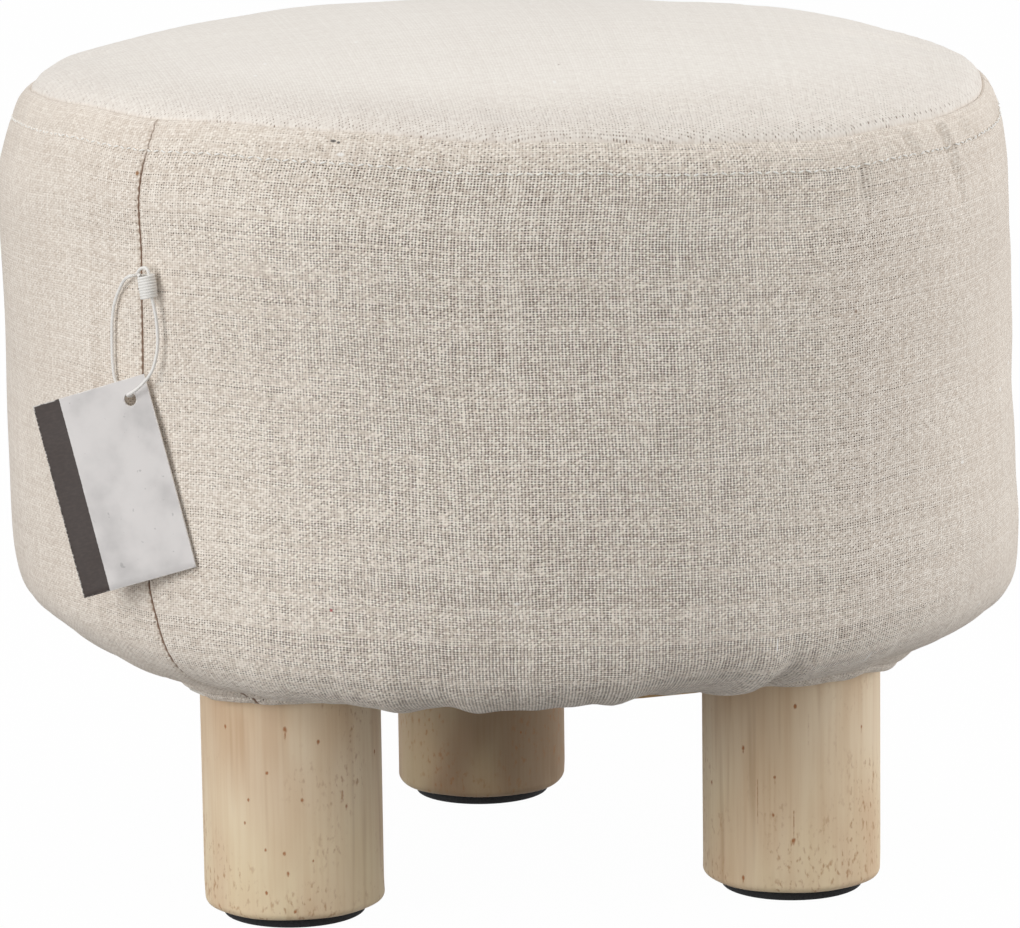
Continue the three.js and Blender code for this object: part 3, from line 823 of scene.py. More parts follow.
@dataclass
class Studio:
    """Camera, soft lights, floor and background."""

    turn: float = math.radians(8.4)
    tilt: float = math.radians(11.22)
    roll: float = math.radians(0.8)
    distance: float = 1.6906
    look_height: float = 0.1225
    shift_right: float = 0.0023
    lens_share: float = 5620.0 / 1020.0
    sensor: float = 36.0
    lamps: dict = field(default_factory=lambda: {
        "right": ((1.0, -0.1, 0.28), (1.0, 0.8), 5.6),
        "left_front": ((-0.95, -0.95, 0.45), (0.7, 0.7), 8.4),
    })
    world_level: float = 0.86
    horizon: tuple[float, float] = (0.04, 0.62)
    clip: tuple[float, float] = (0.05, 50.0)
    lamp_target: float = 0.13
    floor_reach: float = 4.0
    floor_grey: float = 0.35
    floor_glow: float = 1.02
    glow_share: float = 0.965

    def aim(self) -> tuple[Array, Array, Array]:
        """The camera's right, up and forward directions before its roll."""
        forward = np.array([
            math.sin(self.turn) * math.cos(self.tilt),
            math.cos(self.turn) * math.cos(self.tilt),
            -math.sin(self.tilt),
        ])
        right = np.array([math.cos(self.turn), -math.sin(self.turn), 0.0])
        return right, np.cross(right, forward), forward

    def add_camera(self) -> None:
        """Stands the camera where the photograph was taken from."""
        right, up, forward = self.aim()
        look = np.array([0.0, 0.0, self.look_height]) - right * self.shift_right
        place = look - forward * self.distance
        across = right * math.cos(self.roll) - up * math.sin(self.roll)
        upward = right * math.sin(self.roll) + up * math.cos(self.roll)
        camera = bpy.data.objects.new("camera", bpy.data.cameras.new("camera"))
        camera.data.sensor_width = self.sensor
        camera.data.sensor_fit = "HORIZONTAL"
        camera.data.lens = self.lens_share * self.sensor
        camera.data.clip_start, camera.data.clip_end = self.clip
        axes = np.stack([across, upward, -forward], -1)
        camera.matrix_world = Matrix.Translation(Vector(place)) @ Matrix(axes.tolist()).to_4x4()
        bpy.context.scene.collection.objects.link(camera)
        bpy.context.scene.camera = camera
        LOG.info("camera: %.1f mm lens, %.2f m away", camera.data.lens, self.distance)

    def add_lamps(self) -> None:
        """Hangs the area lamps, each pointed at the cushion. Places are turned with the camera."""
        right = self.aim()[0]
        away = np.array([math.sin(self.turn), math.cos(self.turn), 0.0])
        target = np.array([0.0, 0.0, self.lamp_target])
        for name, (place, size, power) in self.lamps.items():
            lamp = bpy.data.lights.new(f"{name}_lamp", "AREA")
            lamp.shape = "RECTANGLE"
            lamp.size, lamp.size_y = size
            lamp.energy = power
            where = right * place[0] + away * place[1] + np.array([0.0, 0.0, place[2]])
            holder = bpy.data.objects.new(f"{name}_lamp", lamp)
            holder.location = where
            holder.rotation_euler = Vector(target - where).to_track_quat("-Z", "Y").to_euler()
            bpy.context.scene.collection.objects.link(holder)
        LOG.info("lamps: %s", ", ".join(self.lamps))

    def add_surroundings(self) -> None:
        """Lays the pale floor and sets the white world behind it."""
        world = Recipe("studio", world=True)
        direction = world.split(world.node("TexCoord").outputs["Generated"])
        dome = direction[2].step(*self.horizon) * self.world_level
        ambient = world.node("Background", None, {"Color": WHITE, "Strength": dome})
        white = world.node("Background", None, {"Color": WHITE, "Strength": 1.0})
        bpy.context.scene.world = world.blend(world.seen(), ambient, white)

        recipe = Recipe("studio_floor")
        bare = recipe.node("BsdfDiffuse", None, {"Color": (self.floor_grey,) * 3})
        glow = recipe.node("Emission", None, {"Color": WHITE, "Strength": self.floor_glow})
        material = recipe.blend(recipe.seen() * self.glow_share, bare, glow)
        corners = np.array([[-1, -1, 0], [1, -1, 0], [1, 1, 0], [-1, 1, 0.0]]) * self.floor_reach
        floor = add_piece("floor", corners, [np.array([[0, 1, 2, 3]])])
        floor.data.materials.append(material)
        LOG.info("floor and background are in place")


@dataclass
class Stance:
    """How the soft cover stands over its frame: its wall leans a little to the camera's left, and
    it lies true at the top and where the tag hangs."""

    lean: float = math.tan(math.radians(1.27))
    pivot: float = 0.070
    turn: float = math.radians(8.4)
    tag_angle: float = -142.5
    upright: tuple[float, float] = (0.206, 0.240)
    held: tuple[float, float] = (math.radians(9.0), math.radians(36.0))
    held_low: tuple[float, float] = (0.085, 0.108)
    held_high: tuple[float, float] = (0.206, 0.238)

    def lay(self, points: Array) -> Array:
        """Moves points sideways by the lean times their height over the pivot, less near the tag.

        Args:
            points: points of the upright cover.

        Returns:
            The leaning points.
        """
        z = points[..., 2]
        away = np.abs(turned(np.arctan2(points[..., 1], points[..., 0]), self.tag_angle))
        near = smooth(self.held[1], self.held[0], away)
        near = near * smooth(*self.held_low, z) * smooth(self.held_high[1], self.held_high[0], z)
        offset = -self.lean * (z - self.pivot) * (1.0 - near) * smooth(self.upright[1], self.upright[0], z)
        sideways = np.array([math.cos(self.turn), -math.sin(self.turn), 0.0])
        return points + offset[..., None] * sideways


@dataclass
class Fold:
    """A crease in the cloth: its angle in degrees, and its depth, width, length and slant in mm."""

    angle: float
    depth: float
    width: float
    length: float
    slant: float = 0.0


@dataclass
class Cover:
    """The linen slip cover: top disc, three side panels, stitches and gathered hem."""

    stance: Stance
    thickness: float = 1.0 * MM
    shoulder_reach: float = 9.6 * MM
    shoulder_drop: float = 38 * MM
    shoulder_power: float = 1.25
    fall_power: float = 0.87
    soft_left: tuple[float, float, float] = (-10 * MM, -0.45, -0.12)
    corner_rise: float = 42 * MM
    corner_reach: float = 67 * MM
    corner_power: float = 0.42
    crown_power: float = 0.985
    sag: float = 0.9 * MM
    crown_tilt: float = 0.006
    left_reach: float = 3.4 * MM
    allowance: float = 7 * MM
    ridge: float = 0.75 * MM
    seam_angles: tuple = (-142.9, -10.0, 97.5)
    seam_bends: tuple = (2.4, -9.5, 0.0)
    bend_heights: tuple[float, float] = (0.118, 0.084)
    leg_first_angle: float = -150.0
    channel_radius: float = 3.1 * MM
    hem_drop: float = 3.4 * MM
    hem_lead: float = 6 * MM
    fold_radius: float = 85 * MM
    elastic_clearance: float = 0.45 * MM
    hem_waves: tuple = ((0.55, 19, 0.4), (0.40, 31, 1.7), (0.30, 47, 4.0))
    seam_waves: tuple = ((0.35, 9, 0.6), (0.25, 17, 2.1))
    gathers: tuple = ((1.0, 38, 0.5), (0.8, 57, 3.0), (0.6, 83, 1.0))
    cloth_waves: tuple = (
        (0.42, 3, 21.0, 0.3), (0.30, 5, 33.0, 1.9), (0.24, 7, -27.0, 4.0), (0.14, 11, 48.0, 2.6),
        (0.09, 16, -60.0, 5.2), (0.06, 23, 84.0, 0.9),
    )
    hem_lifts: tuple = ((-163.0, 14.0, 2.4), (-145.0, 8.0, 1.2), (-71.0, 13.0, 1.7), (-20.0, 14.0, 1.5))
    corner_lifts: tuple = (
        (-68.0, 26.0, 2.2), (-38.0, 15.0, 1.4), (-78.0, 8.0, 1.8), (-24.0, 14.0, 0.9), (-164.0, 27.0, 4.3),
    )
    pulls: tuple = ((-92.0, 42.0, 0.55), (-176.0, 24.0, -0.40), (-14.0, 28.0, -0.38), (80.0, 50.0, 0.30))
    columns: int = 261
    top_columns: int = 480
    top_rows: int = 84
    top_rim: float = 0.35 * MM
    groove_width: float = 0.95 * MM
    groove_depth: float = 0.85 * MM
    ladder_pitch: float = 3.1 * MM
    drag_pitch: float = 27 * MM
    stitch_groove: float = 0.22 * MM
    top_groove: float = 1.2 * MM
    tuck_drop: float = 0.9 * MM
    ridge_drop: float = 0.5 * MM
    shoulder_gap: float = 0.3 * MM
    ridge_sweep: tuple[float, float] = (180.0, -165.0)
    shoulder_sweep: tuple[float, float] = (4.0, 86.0)
    channel_sweep: tuple[float, float] = (-8.0, -285.0)
    bulge_size: float = 0.9 * MM
    bulge_height: float = 0.116
    bulge_width: float = 0.030
    weave_skew: tuple[float, float] = (0.055, 0.9)
    stitch_pitch: float = 2.85 * MM
    stitch_drop: float = 8.3 * MM
    stitch_length: float = 1.9 * MM
    stitch_radius: float = 0.29 * MM
    pleats: tuple = (
        Fold(-56.1, 1.6, 1.2, 30, 1.0),
        Fold(-47.5, 1.3, 1.2, 14, 5.0),
        Fold(-39.2, 1.7, 1.7, 34, 2.0),
        Fold(-33.0, -1.1, 1.5, 16, 4.0),
        Fold(-103.0, 0.2, 2.0, 12, 2.0),
        Fold(38.0, 0.6, 1.8, 20, -3.0),
        Fold(71.0, 0.5, 1.6, 16, 4.0),
        Fold(141.0, 0.7, 1.8, 22, -4.0),
        Fold(168.0, 0.4, 1.5, 14, 3.0),
    )
    hem_folds: tuple = (
        Fold(-113.3, 1.3, 3.6, 24),
        Fold(-106.4, -0.8, 2.6, 15),
        Fold(-86.8, 0.9, 2.6, 18),
        Fold(-70.0, 2.0, 2.5, 38),
        Fold(-66.6, -1.2, 2.0, 30),
        Fold(-128.0, 0.9, 3.6, 20),
        Fold(-52.0, 1.0, 3.4, 22),
        Fold(5.0, 1.4, 3.6, 26),
        Fold(22.0, 1.9, 3.2, 32),
        Fold(41.0, 1.2, 3.8, 24),
        Fold(118.0, 1.5, 3.6, 28),
        Fold(139.0, 1.1, 3.4, 22),
        Fold(160.0, 1.8, 3.2, 34),
        Fold(178.0, 1.0, 3.8, 24),
    )

    def __post_init__(self) -> None:
        """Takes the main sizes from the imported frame."""
        top_low, top_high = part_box("cover_top")
        leg_low, leg_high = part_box("leg_1")
        self.seam_height = top_low[2]
        self.crown = top_high[2] - top_low[2]
        self.seam_radius = top_high[0]
        self.radius = self.seam_radius + self.shoulder_reach
        self.leg_radius = (leg_high[0] - leg_low[0]) / 2
        self.leg_circle = math.hypot((leg_high[0] + leg_low[0]) / 2, (leg_high[1] + leg_low[1]) / 2)
        self.underside = 75 * MM
        self.elastic_height = self.underside - self.hem_drop
        self.loop_reach = self.leg_radius + self.elastic_clearance + self.channel_radius
        self.panels: list[dict] = []
        LOG.info("cover: radius %.4f, seam %.4f up, crown %.4f", self.radius, self.seam_height, self.crown)

    def seam_rise(self, angle: Array) -> Array:
        """How far the edge seam runs above its mean height: waves round the cushion, and a dip behind
        at the left."""
        first = -2.2 * np.cos(angle - math.radians(-13.0))
        second = 1.9 * np.cos(2 * (angle - math.radians(39.0)))
        third = 0.65 * np.cos(3 * (angle - math.radians(8.0)))
        small = waves(angle, self.seam_waves)
        return (first + second + third + small - 2.4 * lobe(angle, 150.0, 27.0)) * MM

    def rim_radius(self, angle: Array) -> Array:
        """The edge seam's radius: the top reaches further out at the camera's left."""
        return self.seam_radius + self.left_reach * lobe(angle, 180.0, 44.0)

    def shoulder(self, angle: Array) -> tuple[Array, Array, Array]:
        """The shoulder's drop and the powers of its reach and fall: rounder at the camera's left."""
        left = lobe(angle, 180.0, 50.0)
        usual = (self.shoulder_drop, self.shoulder_power, self.fall_power)
        return tuple(value + change * left for value, change in zip(usual, self.soft_left))

    def bulge(self, height: Array) -> Array:
        """How far the wall bulges over its lower corner."""
        return self.bulge_size * bell(height - self.bulge_height, self.bulge_width)

    def from_leg(self, angle: Array) -> Array:
        """The angle from the nearest leg's direction, without its sign."""
        spread = math.tau / 3
        shifted = angle - math.radians(self.leg_first_angle) + spread / 2
        return np.abs(np.mod(shifted, spread) - spread / 2)

    def hem_radius(self, angle: Array) -> Array:
        """The taut loop round the legs: straight between two legs, an arc round each one."""
        away = self.from_leg(angle)
        half = math.pi / 3
        arc_end = math.atan2(
            self.loop_reach * math.sin(half), self.leg_circle + self.loop_reach * math.cos(half),
        )
        straight = (self.leg_circle * math.cos(half) + self.loop_reach) / np.cos(half - away)
        across = self.leg_circle * np.sin(np.minimum(away, arc_end))
        arc = self.leg_circle * np.cos(away) + np.sqrt(self.loop_reach ** 2 - across ** 2)
        return np.where(away > arc_end, straight, arc)

    def corner_lift(self, angle: Array) -> Array:
        """How far the lower corner is drawn up: more in front right and at the far left."""
        return (0.8 + lobes(angle, self.corner_lifts)) * MM

    def hem_wave(self, angle: Array) -> Array:
        """The gathered hem's uneven drop: three small waves, and lifts where the legs hold it up."""
        return (waves(angle, self.hem_waves) + lobes(angle, self.hem_lifts)) * MM

    def side_outline(self, angle: Array) -> tuple[Array, Array]:
        """The cover's side as radius and height, row by row from the turned-in top to the hem.

        The rows are: turned-in allowance, rolled ridge, elliptical shoulder, upright wall,
        superelliptic corner, underside, and the channel round the elastic.

        Args:
            angle: angles, one row of them for each row of the outline.

        Returns:
            Radius and height, both of the shape of angle.
        """
        counts = self.row_counts()
        starts = np.cumsum([0, *counts])
        seam = self.seam_height + self.seam_rise(angle)
        radius = np.empty_like(angle)
        height = np.empty_like(angle)

        def rows(index: int) -> slice:
            """The rows of one stretch."""
            return slice(starts[index], starts[index + 1])

        def shares(index: int) -> Array:
            """Shares from 0, short of 1, down one stretch."""
            return (np.arange(counts[index]) / counts[index])[:, None]

        def sweep(ends: tuple[float, float], index: int) -> Array:
            """Angles down one stretch, from a start through a turn, both in degrees."""
            return np.radians(ends[0] + ends[1] * shares(index))

        part = rows(0)
        rim = self.rim_radius(angle)
        radius[part] = rim[part] - self.allowance + (self.allowance - 2 * self.ridge) * shares(0)
        height[part] = seam[part] - self.tuck_drop

        part = rows(1)
        roll = sweep(self.ridge_sweep, 1)
        radius[part] = rim[part] - self.ridge + self.ridge * np.cos(roll)
        height[part] = seam[part] - self.ridge_drop + self.ridge * np.sin(roll)

        part = rows(2)
        turn = sweep(self.shoulder_sweep, 2)
        drop, out_power, fall_power = self.shoulder(angle)
        wall_top = self.seam_height - drop
        reach = self.radius - rim[part]
        radius[part] = rim[part] + reach * np.sin(turn) ** out_power[part]
        fall = (1 - np.cos(turn)) ** fall_power[part]
        height[part] = seam[part] - self.shoulder_gap - (seam[part] - wall_top[part]) * fall

        part = rows(3)
        wall_foot = self.underside + self.corner_rise
        radius[part] = self.radius
        height[part] = wall_top[part] - self.shoulder_gap + (wall_foot - wall_top[part]) * shares(3)

        part = rows(4)
        loop = self.hem_radius(angle)
        lead = loop[part] + self.channel_radius + self.hem_lead
        inner = self.radius - self.corner_reach
        share = np.clip((lead - inner) / self.corner_reach, 0.0, 1.0)
        end = np.arccos(share ** (1 / self.corner_power))
        turn = end * shares(4) ** 1.25
        radius[part] = inner + self.corner_reach * np.cos(turn) ** self.corner_power
        height[part] = self.underside + self.corner_rise * (1 - np.sin(turn) ** self.corner_power)
        height[part] += self.corner_lift(angle[part]) * np.sin(math.pi * shares(4) ** 1.3)

        wave = self.hem_wave(angle)
        part = rows(6)
        turn = sweep(self.channel_sweep, 6)
        radius[part] = loop[part] + self.channel_radius * np.cos(turn)
        height[part] = self.elastic_height + wave[part] + self.channel_radius * np.sin(turn)

        part = rows(5)
        before = slice(starts[5] - 1, starts[5])
        after = slice(starts[6], starts[6] + 1)
        share = (np.arange(1, counts[5] + 1) / (counts[5] + 1))[:, None]
        ease = share * share * (3 - 2 * share)
        radius[part] = radius[before] + (radius[after] - radius[before]) * share
        height[part] = height[before] + (height[after] - height[before]) * ease
        wall = slice(starts[2], starts[5])
        radius[wall] += self.bulge(height[wall]) * smooth(0.08, 0.13, radius[wall])
        return radius, height

    def stretch(self, angle: Array, drop: Array) -> Array:
        """How far tension opens the weave: most in front, least at the left and at the seam."""
        return (0.74 + lobes(angle, self.pulls)) * (0.75 + 0.25 * smooth(0.0, 0.012, drop))

    @staticmethod
    def row_counts() -> tuple:
        """Rows in each stretch of the side's outline."""
        return (5, 8, 30, 28, 30, 8, 20)

    def panel_angles(self, index: int, height: Array) -> Array:
        """A panel's angles: columns crowd towards its two seams, which bend near the hem.

        Args:
            index: the panel, from 0.
            height: the nominal height of each row.

        Returns:
            Angles in radians, a row for each height.
        """
        bend = smooth(*self.bend_heights, height)
        after = (index + 1) % 3
        start = self.seam_angles[index] + self.seam_bends[index] * bend
        end = self.seam_angles[after] + (360.0 if after == 0 else 0.0) + self.seam_bends[after] * bend
        share = np.linspace(0.0, 1.0, self.columns)
        share = share - 0.88 * np.sin(math.tau * share) / math.tau
        gap = 0.12 * MM / self.radius
        start = np.radians(start)[:, None] + gap
        end = np.radians(end)[:, None] - gap
        return start + (end - start) * share[None, :]

    def relief(self, angle: Array, drop: Array, height: Array, side: Array) -> Array:
        """How far the cloth stands off its smooth form, along its normal.

        Args:
            angle: angles in radians.
            drop: length of cloth below the edge seam.
            height: height above the floor.
            side: distance from the nearest upright seam.

        Returns:
            Offsets in metres, outwards where positive.
        """
        broad = np.zeros_like(angle)
        for size, turns, rate, phase in self.cloth_waves:
            broad += size * np.cos(turns * angle + rate * drop * 2 + phase)
        fade_in = smooth(0.004, 0.030, drop)
        offset = broad * fade_in * MM
        pucker = np.cos(73 * angle + 1.2 * np.cos(5 * angle)) + 0.7 * np.cos(51 * angle + 2.0)
        below_seam = smooth(0.0005, 0.003, drop) * smooth(0.024, 0.006, drop)
        offset += 0.11 * MM * pucker * below_seam
        offset -= self.stitch_groove * bell(drop - self.stitch_drop, 1.1 * MM) * (drop > 0)
        for fold in self.pleats:
            slanted = angle - fold.slant * 0.1 * drop / self.seam_radius
            lateral = turned(slanted, fold.angle) * self.seam_radius / (fold.width * MM)
            crease = (lateral - 0.35) * bell(lateral, 1.0)
            reach = smooth(0.0, 0.0015, drop) * smooth(1.0, 0.25, drop / (fold.length * MM))
            offset += 2.0 * fold.depth * MM * crease * reach
        low = smooth(0.112, 0.074, height)
        for fold in self.hem_folds:
            lateral = turned(angle, fold.angle) * self.fold_radius / (fold.width * MM)
            crest = bell(lateral, 1.0) - 0.6 * bell(lateral - 1.9, 1.0)
            reach = smooth(self.underside + fold.length * MM, self.underside, height)
            offset += fold.depth * MM * crest * reach
        offset += 0.16 * MM * waves(angle, self.gathers) * low
        roll = bell(side, self.groove_width) * smooth(0.0, 0.002, drop)
        offset -= self.groove_depth * roll * (0.3 + 0.7 * smooth(0.070, 0.082, height))
        ladder = np.cos(math.tau * drop / self.ladder_pitch) * bell(side, 2.4 * MM)
        offset += 0.10 * MM * ladder * (drop > 0)
        drag = np.cos(math.tau * drop / self.drag_pitch + 1.0) * bell(side - 6 * MM, 8 * MM)
        offset += 0.16 * MM * drag * fade_in
        return offset

    def build_panel(self, index: int, material: Material, settle: Callable) -> Piece:
        """Builds one side panel as a closed shell one cloth thick.

        Args:
            index: the panel, from 0.
            material: its linen.
            settle: moves the smooth form's points as the simulated cloth lies.

        Returns:
            The piece.
        """
        total = sum(self.row_counts())
        probe = np.full((total, 1), math.radians(-60.0))
        nominal = self.side_outline(probe)[1][:, 0]
        angle = self.panel_angles(index, nominal)
        radius, height = self.side_outline(angle)
        form = polar(radius, angle, height)
        first = sum(self.row_counts()[:2])
        steps = np.linalg.norm(np.diff(form, axis=0), axis=-1)
        drop = np.concatenate([np.zeros((1, self.columns)), np.cumsum(steps, axis=0)])
        drop = drop - drop[first]
        end_gap = np.minimum(angle - angle[:, :1], angle[:, -1:] - angle)
        side = end_gap * radius
        form = settle(form, smooth(0.0, 0.012, drop) * smooth(0.0, 0.010, side))
        normal = surface_normals(form)
        outside = form + normal * self.relief(angle, drop, height, side)[..., None]
        outside = self.stance.lay(outside)
        normal = surface_normals(outside)
        inside = outside - normal * self.thickness
        grid = np.concatenate([outside, inside[::-1]])
        faces = self._shell_faces(total)
        piece = add_piece(f"linen_side_{index + 1}", grid, faces)
        weave = np.stack([angle * self.radius, -drop], -1)
        add_uv(piece, "weave", folded(weave))
        add_values(piece, "seam_side", folded(side))
        add_values(piece, "stretch", folded(self.stretch(angle, drop)))
        dress(piece, material, Body.STOOL, Slot.LINEN, f"cover_side_{index + 1}")
        self.panels.append({"angle": angle, "drop": drop, "points": outside, "normal": normal})
        return piece

    def _shell_faces(self, total: int) -> list:
        """Faces of a panel's shell: round its section, and across its two upright ends."""
        wall = ring_faces(2 * total, self.columns, True, False)
        row = np.arange(total - 1)
        opposite = 2 * total - 1 - row
        starts = []
        for column, flip in ((0, False), (self.columns - 1, True)):
            quad = np.stack([row, row + 1, opposite - 1, opposite], -1) * self.columns + column
            starts.append(quad[:, ::-1] if flip else quad)
        return [wall[:, ::-1], *[ends[:, ::-1] for ends in starts]]

    def build_top(self, material: Material, settle: Callable) -> Piece:
        """Builds the top disc with its rolled rim and turned-in allowance.

        Args:
            material: its linen.
            settle: moves the smooth form's points as the simulated cloth lies.

        Returns:
            The piece.
        """
        columns, rim = self.top_columns, self.top_rim
        angle = (math.tau * np.arange(columns) / columns)[None, :]
        sweep = np.radians(89.0) * (np.linspace(0.012, 1.0, self.top_rows)[:, None]) ** 0.8
        reach = self.rim_radius(angle) - self.ridge * 1.45 - rim
        seam = self.seam_height + self.seam_rise(angle)
        radius = reach * np.sin(sweep) ** self.crown_power
        crown = self.crown - self.sag - self.seam_rise(angle)
        height = seam + 0.1 * MM + crown * np.cos(sweep) ** self.crown_power
        roll = np.radians(np.linspace(80.0, -80.0, 7))[:, None]
        roll_radius = reach + rim * np.cos(roll)
        roll_height = seam - 0.25 * MM + rim * np.sin(roll)
        under = np.linspace(0.0, 1.0, 5)[1:, None]
        under_radius = reach - (self.allowance - 2 * MM) * under
        under_height = seam - 0.6 * MM + 0 * under
        radius = np.concatenate([radius, roll_radius, under_radius])
        height = np.concatenate([height, roll_height, under_height])
        form = polar(radius, angle, height)
        inset = reach + rim - radius
        form = settle(form, smooth(0.0, 0.014, inset))
        form = form + self._top_relief(angle, inset, radius)[..., None] * UP
        outside = self.stance.lay(form)
        inner = outside[:-1][::-1].copy()
        inner[..., 2] -= self.thickness
        grid = np.concatenate([outside, inner])
        rows = len(grid)
        poles = np.array([grid[0].mean(axis=0), grid[-1].mean(axis=0)])
        points = np.concatenate([grid.reshape(-1, 3), poles])
        crown_cap = cap(columns, len(points) - 2, 0, True)
        inner_cap = cap(columns, len(points) - 1, (rows - 1) * columns, False)
        faces = [ring_faces(rows, columns, False, True)[:, ::-1], crown_cap, inner_cap]
        piece = add_piece("linen_top", points, faces)
        flat = points[:, :2].copy()
        skew = self.weave_skew[0] + self.weave_skew[1] * flat[:, 0]
        flat[:, 0] = flat[:, 0] - flat[:, 1] * skew
        add_uv(piece, "weave", flat[:, ::-1])
        arc = np.broadcast_to(angle * self.seam_radius, radius.shape)
        depth = np.concatenate([inset, np.ones_like(inset[:-1])])
        add_values(piece, "edge_arc", np.append(folded(arc, 1), [0.0, 0.0]))
        add_values(piece, "edge_inset", np.append(depth, [1.0, 1.0]))
        # The top's stretch rises towards the front rim: it opens the weave there and, with the top's strong
        # weight, darkens the tone as painted shade.
        tight = 0.30 + (0.12 + 0.42 * lobe(angle, -95.0, 75.0)) * smooth(42 * MM, 4 * MM, inset)
        add_values(piece, "stretch", np.append(folded(tight, 1), [0.3, 0.3]))
        pull = bell((angle - math.radians(360.0 - 45.0)) * self.seam_radius, 32 * MM)
        add_values(piece, "edge_pull", np.append(np.broadcast_to(pull, (rows, columns)), [0.0, 0.0]))
        dress(piece, material, Body.STOOL, Slot.LINEN, "cover_top")
        return piece

    def _top_relief(self, angle: Array, inset: Array, radius: Array) -> Array:
        """The top cloth's small heights: broad waves, a tilt, puckers at the rim, the sunk stitch line,
        and a fuller shoulder behind at the left."""
        x = radius * np.cos(angle)
        y = radius * np.sin(angle)
        broad = 0.35 * np.cos(38 * x + 21 * y + 0.4) + 0.3 * np.cos(-27 * x + 44 * y + 1.2)
        broad += 0.16 * np.cos(71 * x - 50 * y + 2.2)
        offset = broad * MM * smooth(0.002, 0.03, inset)
        right = x * math.cos(self.stance.turn) - y * math.sin(self.stance.turn)
        offset += self.crown_tilt * right * smooth(0.0, 0.045, inset)
        pucker = np.cos(64 * angle + 1.3 * np.cos(7 * angle)) + 0.7 * np.cos(97 * angle + 2.0)
        offset += 0.10 * MM * pucker * smooth(0.0, 0.002, inset) * smooth(0.016, 0.004, inset)
        offset -= self.stitch_groove * bell(inset - self.top_groove, self.top_groove)
        full = smooth(0.0, 0.014, inset) * smooth(0.075, 0.020, inset)
        offset += 1.2 * MM * lobe(angle, 160.0, 36.0) * full
        return offset

    def line_at(self, drop: float) -> tuple[Array, Array, Array]:
        """The line round the side that lies a length of cloth below the edge seam.

        Args:
            drop: the length below the seam.

        Returns:
            Angles, points and normals, in the order of the angles.
        """
        angles, points, normals = [], [], []
        for panel in self.panels:
            row = np.argmax(panel["drop"] > drop, axis=0)
            column = np.arange(self.columns)
            high = panel["drop"][row, column]
            low = panel["drop"][row - 1, column]
            share = ((drop - low) / (high - low))[:, None]
            angles.append(panel["angle"][row, column])
            above, below = panel["points"][row - 1, column], panel["points"][row, column]
            points.append(above * (1 - share) + below * share)
            normals.append(panel["normal"][row, column])
        return np.concatenate(angles), np.concatenate(points), np.concatenate(normals)

    def build_stitches(self, material: Material) -> Piece:
        """Builds the running stitch below the edge seam, as short arched threads.

        Args:
            material: the thread's.

        Returns:
            The piece: one small tube for each stitch.
        """
        angle, line, normal = self.line_at(self.stitch_drop)
        count = int(math.tau * self.radius / self.stitch_pitch)
        first = angle[0]
        centre = first + math.tau * (np.arange(count) + 0.5) / count
        across = unit(np.gradient(line, axis=0))

        def read(values: Array) -> Array:
            """Values at the stitches' angles."""
            return np.stack([np.interp(centre, angle, values[:, axis]) for axis in range(3)], -1)

        place, out, along = read(line), unit(read(normal)), unit(read(across))
        down = np.cross(along, out)
        rings = np.linspace(-1.0, 1.0, 7)
        sides = 6
        turn = math.tau * np.arange(sides) / sides
        taper = np.sqrt(np.clip(1.06 - rings ** 2, 0.05, 1.0))
        front = bell(centre + math.radians(95.0), math.radians(22.0))
        sink = 0.06 + 0.17 * front + 0.06 * np.cos(31 * centre) + 0.42 * lobe(centre, 188.0, 26.0)
        lift = (0.20 * MM) * (1 - rings ** 2)[None, :] - (sink * MM)[:, None]
        tilt = 0.30 * MM * np.where(np.arange(count) % 2 == 0, 1.0, -1.0)[:, None] * rings[None, :]
        spine = place[:, None] + along[:, None] * (rings * self.stitch_length / 2)[None, :, None]
        spine = spine + out[:, None] * (lift + self.stitch_radius)[..., None]
        spine = spine + down[:, None] * tilt[..., None]
        ring = out[:, None, None] * np.cos(turn)[:, None] + down[:, None, None] * np.sin(turn)[:, None]
        grid = spine[:, :, None] + ring * (self.stitch_radius * taper)[None, :, None, None]
        block = ring_faces(len(rings), sides, False, True)
        shift = (np.arange(count) * len(rings) * sides)[:, None, None]
        faces = (block[None] + shift).reshape(-1, 4)
        near = np.arange(sides)[None, :]
        far = near + (len(rings) - 1) * sides
        caps = np.concatenate([near + shift[:, 0], (far + shift[:, 0])[:, ::-1]])
        piece = add_piece("edge_stitches", grid, [faces, caps[:, ::-1]])
        return dress(piece, material, Body.STOOL, Slot.LINEN)

    def build(self, side: Material, top: Material, thread: Material) -> None:
        """Builds the whole cover."""
        settle = Settling(self).field()
        for index in range(3):
            self.build_panel(index, side, settle)
        self.build_top(top, settle)
        self.build_stitches(thread)


